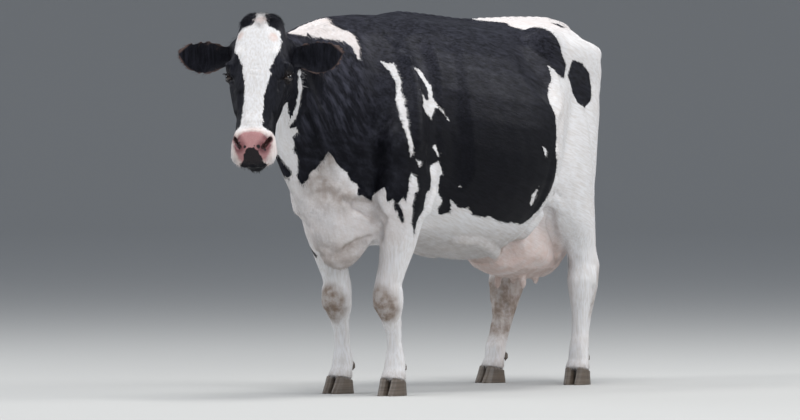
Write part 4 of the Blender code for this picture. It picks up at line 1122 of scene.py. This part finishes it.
def grow_long_coat(surface, coat):
    """The longer hair: the poll, the ears, the chin, the back, the belly and the feet."""
    facing, part = surface.normals, surface.part
    x, y, z = surface.points.T
    wide = np.abs(x)
    left, out, down = head_places(surface.points).T
    aside = np.abs(left)
    on_face, on_leg = part["head"] > 0.5, part["leg"] > 0.6

    def grow(name, density, length, width, slot="body_coat", lies=None, segments=2, **more):
        roots, normals, values = surface.scatter(density)
        ways = lie_of_coat(roots, normals, 0.15) if lies is None else unit(lies(roots, normals))
        sizes = RNG.uniform(0.65, 1.2, len(roots))
        item = make_locks(name, roots, normals, values, ways, length * sizes, width * np.sqrt(sizes),
                          segments=segments, **more)
        present(item, coat, slot, smooth=False)

    def outward(roots):
        return HEAD_LEFT * np.sign(head_places(roots)[:, 0])[:, None]

    def poll_lies(roots, normals):
        across, _, low = head_places(roots).T
        way = columns(across * 9.0, 0.60, 0.15 + 6.0 * (low - 0.01))
        return flatten(way @ HEAD_AXES.T + RNG.normal(0, 0.22, roots.shape), normals)

    def ear_lies(roots, _):
        return outward(roots) * 0.75 + HEADING * 0.25 - UP * 0.40 + RNG.normal(0, 0.28, roots.shape)

    def rim_lies(roots, normals):
        return outward(roots) * 0.9 + normals * 0.35 + RNG.normal(0, 0.15, roots.shape)

    def down_lies(roots, normals):
        return -UP + normals * 0.20 + RNG.normal(0, 0.14, roots.shape)

    poll = ramp(down, 0.050, 0.025) * ramp(aside, 0.080, 0.060) * (out > -0.09) * on_face
    grow("poll_tuft", 110000 * poll, 0.026, 0.0014, "head_coat", poll_lies, lift=0.34, press=0.80, wave=0.16,
         segments=3)
    ahead = facing @ HEADING
    inner = (part["ear"] > 0.3) * ramp(ahead, 0.1, 0.5) * ramp(aside, 0.30, 0.24)
    beside = between(aside, 0.085, 0.17) * ramp(ahead, -0.2, 0.3) * (np.abs(down - 0.11) < 0.055) * (out < -0.06)
    inner = inner + beside
    grow("ear_hair", 22000 * inner, 0.024, 0.0008, "ear", ear_lies, lift=0.22, wave=0.10, droop=0.15, segments=3)
    rims = ramp(surface.values["edge"], 0.2, 0.8)
    grow("ear_rims", 110000 * rims, 0.011, 0.0008, "ear", rim_lies, lift=0.10)
    chin = ramp(out, -0.11, -0.14) * ramp(down, 0.42, 0.50) * on_face
    grow("chin_hair", 7000 * chin, 0.013, 0.0006, "muzzle", lift=0.22, droop=0.1)
    jaw = ramp(out, -0.14, -0.19) * between(down, 0.1, 0.5) * on_face
    grow("jaw_hair", 14000 * jaw, 0.014, 0.0009, "head_coat", lift=0.12)
    ridge = ramp(wide, 0.045, 0.015) * (facing[:, 2] > 0.6) * (z > 1.25) * between(y, -1.0, 0.86)
    grow("topline", 34000 * ridge, 0.020, 0.0012, lift=0.12, press=0.5)
    crest = ramp(facing[:, 2], 0.45, 0.75) * between(y, -1.12, -0.70) * (z > 1.2) * ~on_face
    grow("crest", 26000 * crest, 0.022, 0.0012, lift=0.12, press=0.5)
    belly = ramp(facing[:, 2], -0.75, -0.92) * (wide < 0.16) * between(y, -0.60, 0.30) * (z < 0.75)
    grow("belly_fringe", 14000 * belly, 0.024, 0.0011, lift=0.08, droop=0.20, segments=3)
    brisket = ramp(np.abs(x + 0.02), 0.09, 0.04) * (y < -0.78) * between(z, 0.45, 0.95) * (part["leg"] < 0.3)
    grow("brisket_fringe", 24000 * brisket * (facing[:, 1] < 0.3), 0.022, 0.0011, lift=0.08, droop=0.15, segments=3)
    behind = ramp(facing[:, 1], 0.25, 0.7) * (y > 0.55) * between(z, 0.50, 1.2)
    grow("thigh_hair", 14000 * behind, 0.018, 0.0012, lift=0.08, press=0.5)
    udder = between(z, 0.465, 0.62) * between(y, 0.25, 0.75) * (wide < 0.17) * (part["leg"] < 0.5)
    grow("udder_hair", 6000 * udder, 0.010, 0.0007, "udder", lift=0.10)
    shank = ramp(facing[:, 1], 0.2, 0.7) * on_leg * between(z, 0.10, 0.40)
    shank = shank + 2.0 * ramp(facing[:, 1], 0.0, 0.5) * on_leg * (np.abs(z - 0.125) < 0.035)
    grow("shank_hair", 20000 * shank, 0.015, 0.0010, "leg_coat", lift=0.10)
    coronet = on_leg * ramp(np.abs(z - 0.078), 0.016, 0.006)
    grow("coronet_hair", 100000 * coronet, 0.015, 0.0010, "leg_coat", down_lies, lift=0.04)


def grow_lashes(coat):
    roots, ways, normals = [], [], []
    for side in BOTH:
        centre, outward, along, upward = eye_frame(side)
        for _ in range(LASHES):
            a = RNG.uniform(-0.80, 0.72)
            b = LID_TOP * max(0.0, 1.0 - (a / LID_HALF) ** 2) ** 0.60 + 0.05 + RNG.uniform(0, 0.06)
            ray = unit(outward + along * math.tan(a) + upward * math.tan(b))
            roots.append(centre + ray * (EYE_RADIUS + 0.0022))
            ways.append(unit(ray * 0.55 - upward * 0.50 + along * a * 0.5 + RNG.normal(0, 0.06, 3)))
            normals.append(upward)
    roots, ways, normals = map(np.array, (roots, ways, normals))
    item = make_locks("lashes", roots, unit(flatten(normals, ways)), fields(roots), ways,
                      RNG.uniform(0.012, 0.019, len(roots)), 0.0007, lift=0.22, sink=0.0, segments=3,
                      own_normals=True)
    present(item, coat, "eye", smooth=False)


def grow_switch(coat):
    """The long hair at the end of the tail, in a loose tapering brush."""
    count = SWITCH_LOCKS
    share = RNG.uniform(0.0, 1.0, count)
    heights = TAIL_TOP - 0.36 * share ** 0.7
    angle = RNG.uniform(0, 2 * math.pi, count)
    x, y, z, radius = TAIL_TIP.T
    x, y, radius = (np.interp(-heights, -z, row) for row in (x, y, radius))
    normals = columns(np.cos(angle), np.sin(angle), 0.0)
    roots = columns(x, y, heights) + normals * (radius - 0.003)[:, None]
    lies = unit(-UP + normals * RNG.uniform(0.0, 0.10, count)[:, None] + RNG.normal(0, 0.025, roots.shape))
    ends = 0.330 + 0.17 * RNG.uniform(0, 1, count) ** 1.6
    lengths = np.minimum(RNG.uniform(0.10, 0.30, count), np.maximum(roots[:, 2] - ends, 0.05))
    lengths *= 0.25 + 0.75 * ramp(heights, TAIL_TOP, 0.68)
    item = make_locks("switch_hair", roots, normals, fields(roots), lies, lengths, RNG.uniform(0.0018, 0.0036, count),
                      lift=0.20, press=1.25, wave=0.030, sink=0.0, segments=8)
    present(item, coat, "switch", smooth=False)


# ---------------- finishing pieces
def present(item, material, slot, *nodes, smooth=True):
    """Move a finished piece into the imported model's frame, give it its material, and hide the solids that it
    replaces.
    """
    mesh = item.data
    mesh.transform(Matrix.Translation(-ORIGIN))
    mesh.materials.clear()
    mesh.materials.append(material)
    if smooth:
        mesh.shade_smooth()
    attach(item, "root")
    if nodes:
        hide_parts(*nodes)


def make_eyeball(side, word, material):
    """A moist ball with a bulging cornea, a dark iris and a pupil that lies level."""
    centre, outward, along, upward = eye_frame(side)
    shape = bmesh.new()
    bmesh.ops.create_icosphere(shape, subdivisions=5, radius=1.0)
    item = add_shape("eyeball_" + word, shape)
    mesh = item.data
    rays = unit(read_points(mesh))
    angle = np.arccos(np.clip(rays[:, 2], -1, 1))
    bulge = 0.0012 * ramp(angle, 0.80, 0.30)
    turned = rays @ np.stack([along, upward, outward])
    write_points(mesh, centre + turned * (EYE_RADIUS + bulge)[:, None])
    set_field(mesh, "root", read_points(mesh))
    set_field(mesh, "iris", IRIS - angle)
    flat = np.arctan2(np.hypot(rays[:, 0] / 1.75, rays[:, 1] / 0.85), rays[:, 2])
    set_field(mesh, "pupil", PUPIL - flat)
    present(item, material, "eye", "eye_" + word)


RING_STEP, RING_HEIGHT = 0.0062, 0.00025  # the claws' rings of growth


def make_claw(node, material):
    """A rounder copy of a claw, with its rings of growth, on the same flat sole."""
    dew = "dewclaw" in node
    mesh = NODES[node].data.copy()
    mesh.transform(Matrix.Translation(ORIGIN))
    item = add_object(node + "_horn", mesh)
    heights = read_points(mesh)[:, 2]
    low, high = heights.min(), heights.max()
    remesh(item, 0.0025 if dew else 0.0030)
    mesh = item.data
    points = relax(read_points(mesh), read_edges(mesh), np.ones(len(mesh.vertices)), 14)
    if dew:  # tucked in under the hair
        middle = points.mean(axis=0)
        points = middle + (points - middle) * (0.80, 0.70, 0.95) + (0.0, -0.006, 0.0)
    else:  # the walls lean in and the toe slopes back
        share = (points[:, 2] - low) / (high - low)
        middle, heel = points[:, 0].mean(), points[:, 1].max()
        points[:, 0] = middle + (points[:, 0] - middle) * (1.03 - 0.12 * share)
        points[:, 1] = heel + (points[:, 1] - heel) * (1.0 - 0.09 * share)
    write_points(mesh, points)
    level = points[:, 2] + 0.30 * (points[:, 1] - points[:, 1].min())
    walls = ramp(points[:, 2], low + 0.004, low + 0.012)
    points += read_normals(mesh) * (RING_HEIGHT * np.sin(level * 2 * math.pi / RING_STEP) * walls)[:, None]
    points[points[:, 2] < low + 0.0030, 2] = low
    points[:, 2] = np.clip(points[:, 2], low, high)
    write_points(mesh, points)
    present(item, material, "dewclaw" if dew else "claw", node)


def aim(item, place, way):
    item.location = place
    item.rotation_euler = way.to_track_quat("-Z", "Y").to_euler()


def make_studio():
    """A pale floor that rises far away, a weak even light from all round, and five soft lamps."""
    world = bpy.data.worlds.new("studio")
    bpy.context.scene.world = world
    world.use_nodes = True
    back = world.node_tree.nodes["Background"]
    back.inputs["Color"].default_value = (0.84, 0.90, 1.0, 1)
    back.inputs["Strength"].default_value = 0.36
    shape = bmesh.new()
    flat, bend = 40.0, 25.0  # the reach of the level floor, and the radius at which it rises
    turns = [k * math.pi / 16 for k in range(9)]
    add_tube(shape, [(0, 0, bend - bend * math.cos(t), flat + bend * math.sin(t)) for t in turns],
             count=96, closed=False)
    floor = add_shape("floor", shape)
    floor.data.shade_smooth()
    floor.data.materials.append(Nodes("floor").finish({"Base Color": (0.50, 0.505, 0.50), "Roughness": 0.9}))
    warm, cool = (1.0, 0.985, 0.96), (0.96, 0.98, 1.0)
    for name, place, size, power, colour in (
            ("top", (1.5, -1.0, 9.0), 4.0, 540, warm),
            ("key", (-4.5, -7.5, 9.5), 3.0, 400, warm),
            ("front", (9.0, -6.5, 4.5), 5.0, 430, cool),
            ("back", (7.0, 6.0, 6.0), 4.0, 430, warm),
            ("far", (-9.0, -2.0, 5.0), 5.0, 220, (0.95, 0.97, 1.0))):
        lamp = bpy.data.lights.new(name, "AREA")
        lamp.size = size
        lamp.energy = power
        lamp.color = colour
        aim(add_object(name, lamp), place, Vector((0, 0, 0.8)) - Vector(place))


def make_camera():
    """A long lens, far off and 1 m up, aimed a little to the left of the cow's middle and downwards."""
    turn, distance, height = math.radians(31), 25.0, 1.0
    aside, below = 0.1984, 0.3035
    back = Vector((math.sin(turn), -math.cos(turn), 0.0))
    across = Vector((math.cos(turn), math.sin(turn), 0.0))
    camera = add_object("camera", bpy.data.cameras.new("camera"))
    camera.data.sensor_width = 36.0
    camera.data.lens = 289.1
    camera.data.clip_end = 500.0
    place = back * distance + Vector((0, 0, height)) - Vector(ORIGIN)
    aim(camera, place, -back * distance - across * aside - Vector((0, 0, below)))
    bpy.context.scene.camera = camera


def main():
    bpy.context.scene.view_settings.view_transform = "Standard"
    make_studio()
    make_camera()
    skin = make_skin()
    surface = Surface(skin.data)
    mark(skin.data, surface.points, surface.values)
    coat = coat_material()
    grow_short_coat(surface, coat)
    grow_long_coat(surface, coat)
    grow_lashes(coat)
    grow_switch(coat)
    present(skin, coat, "body_coat", *FLESH, "tail_switch")
    eyes = eye_material()
    horn = horn_material()
    for word, side in SIDES.items():
        make_eyeball(side, word, eyes)
    for name in list(NODES):
        if "claw" in name:
            make_claw(name, horn)


main()
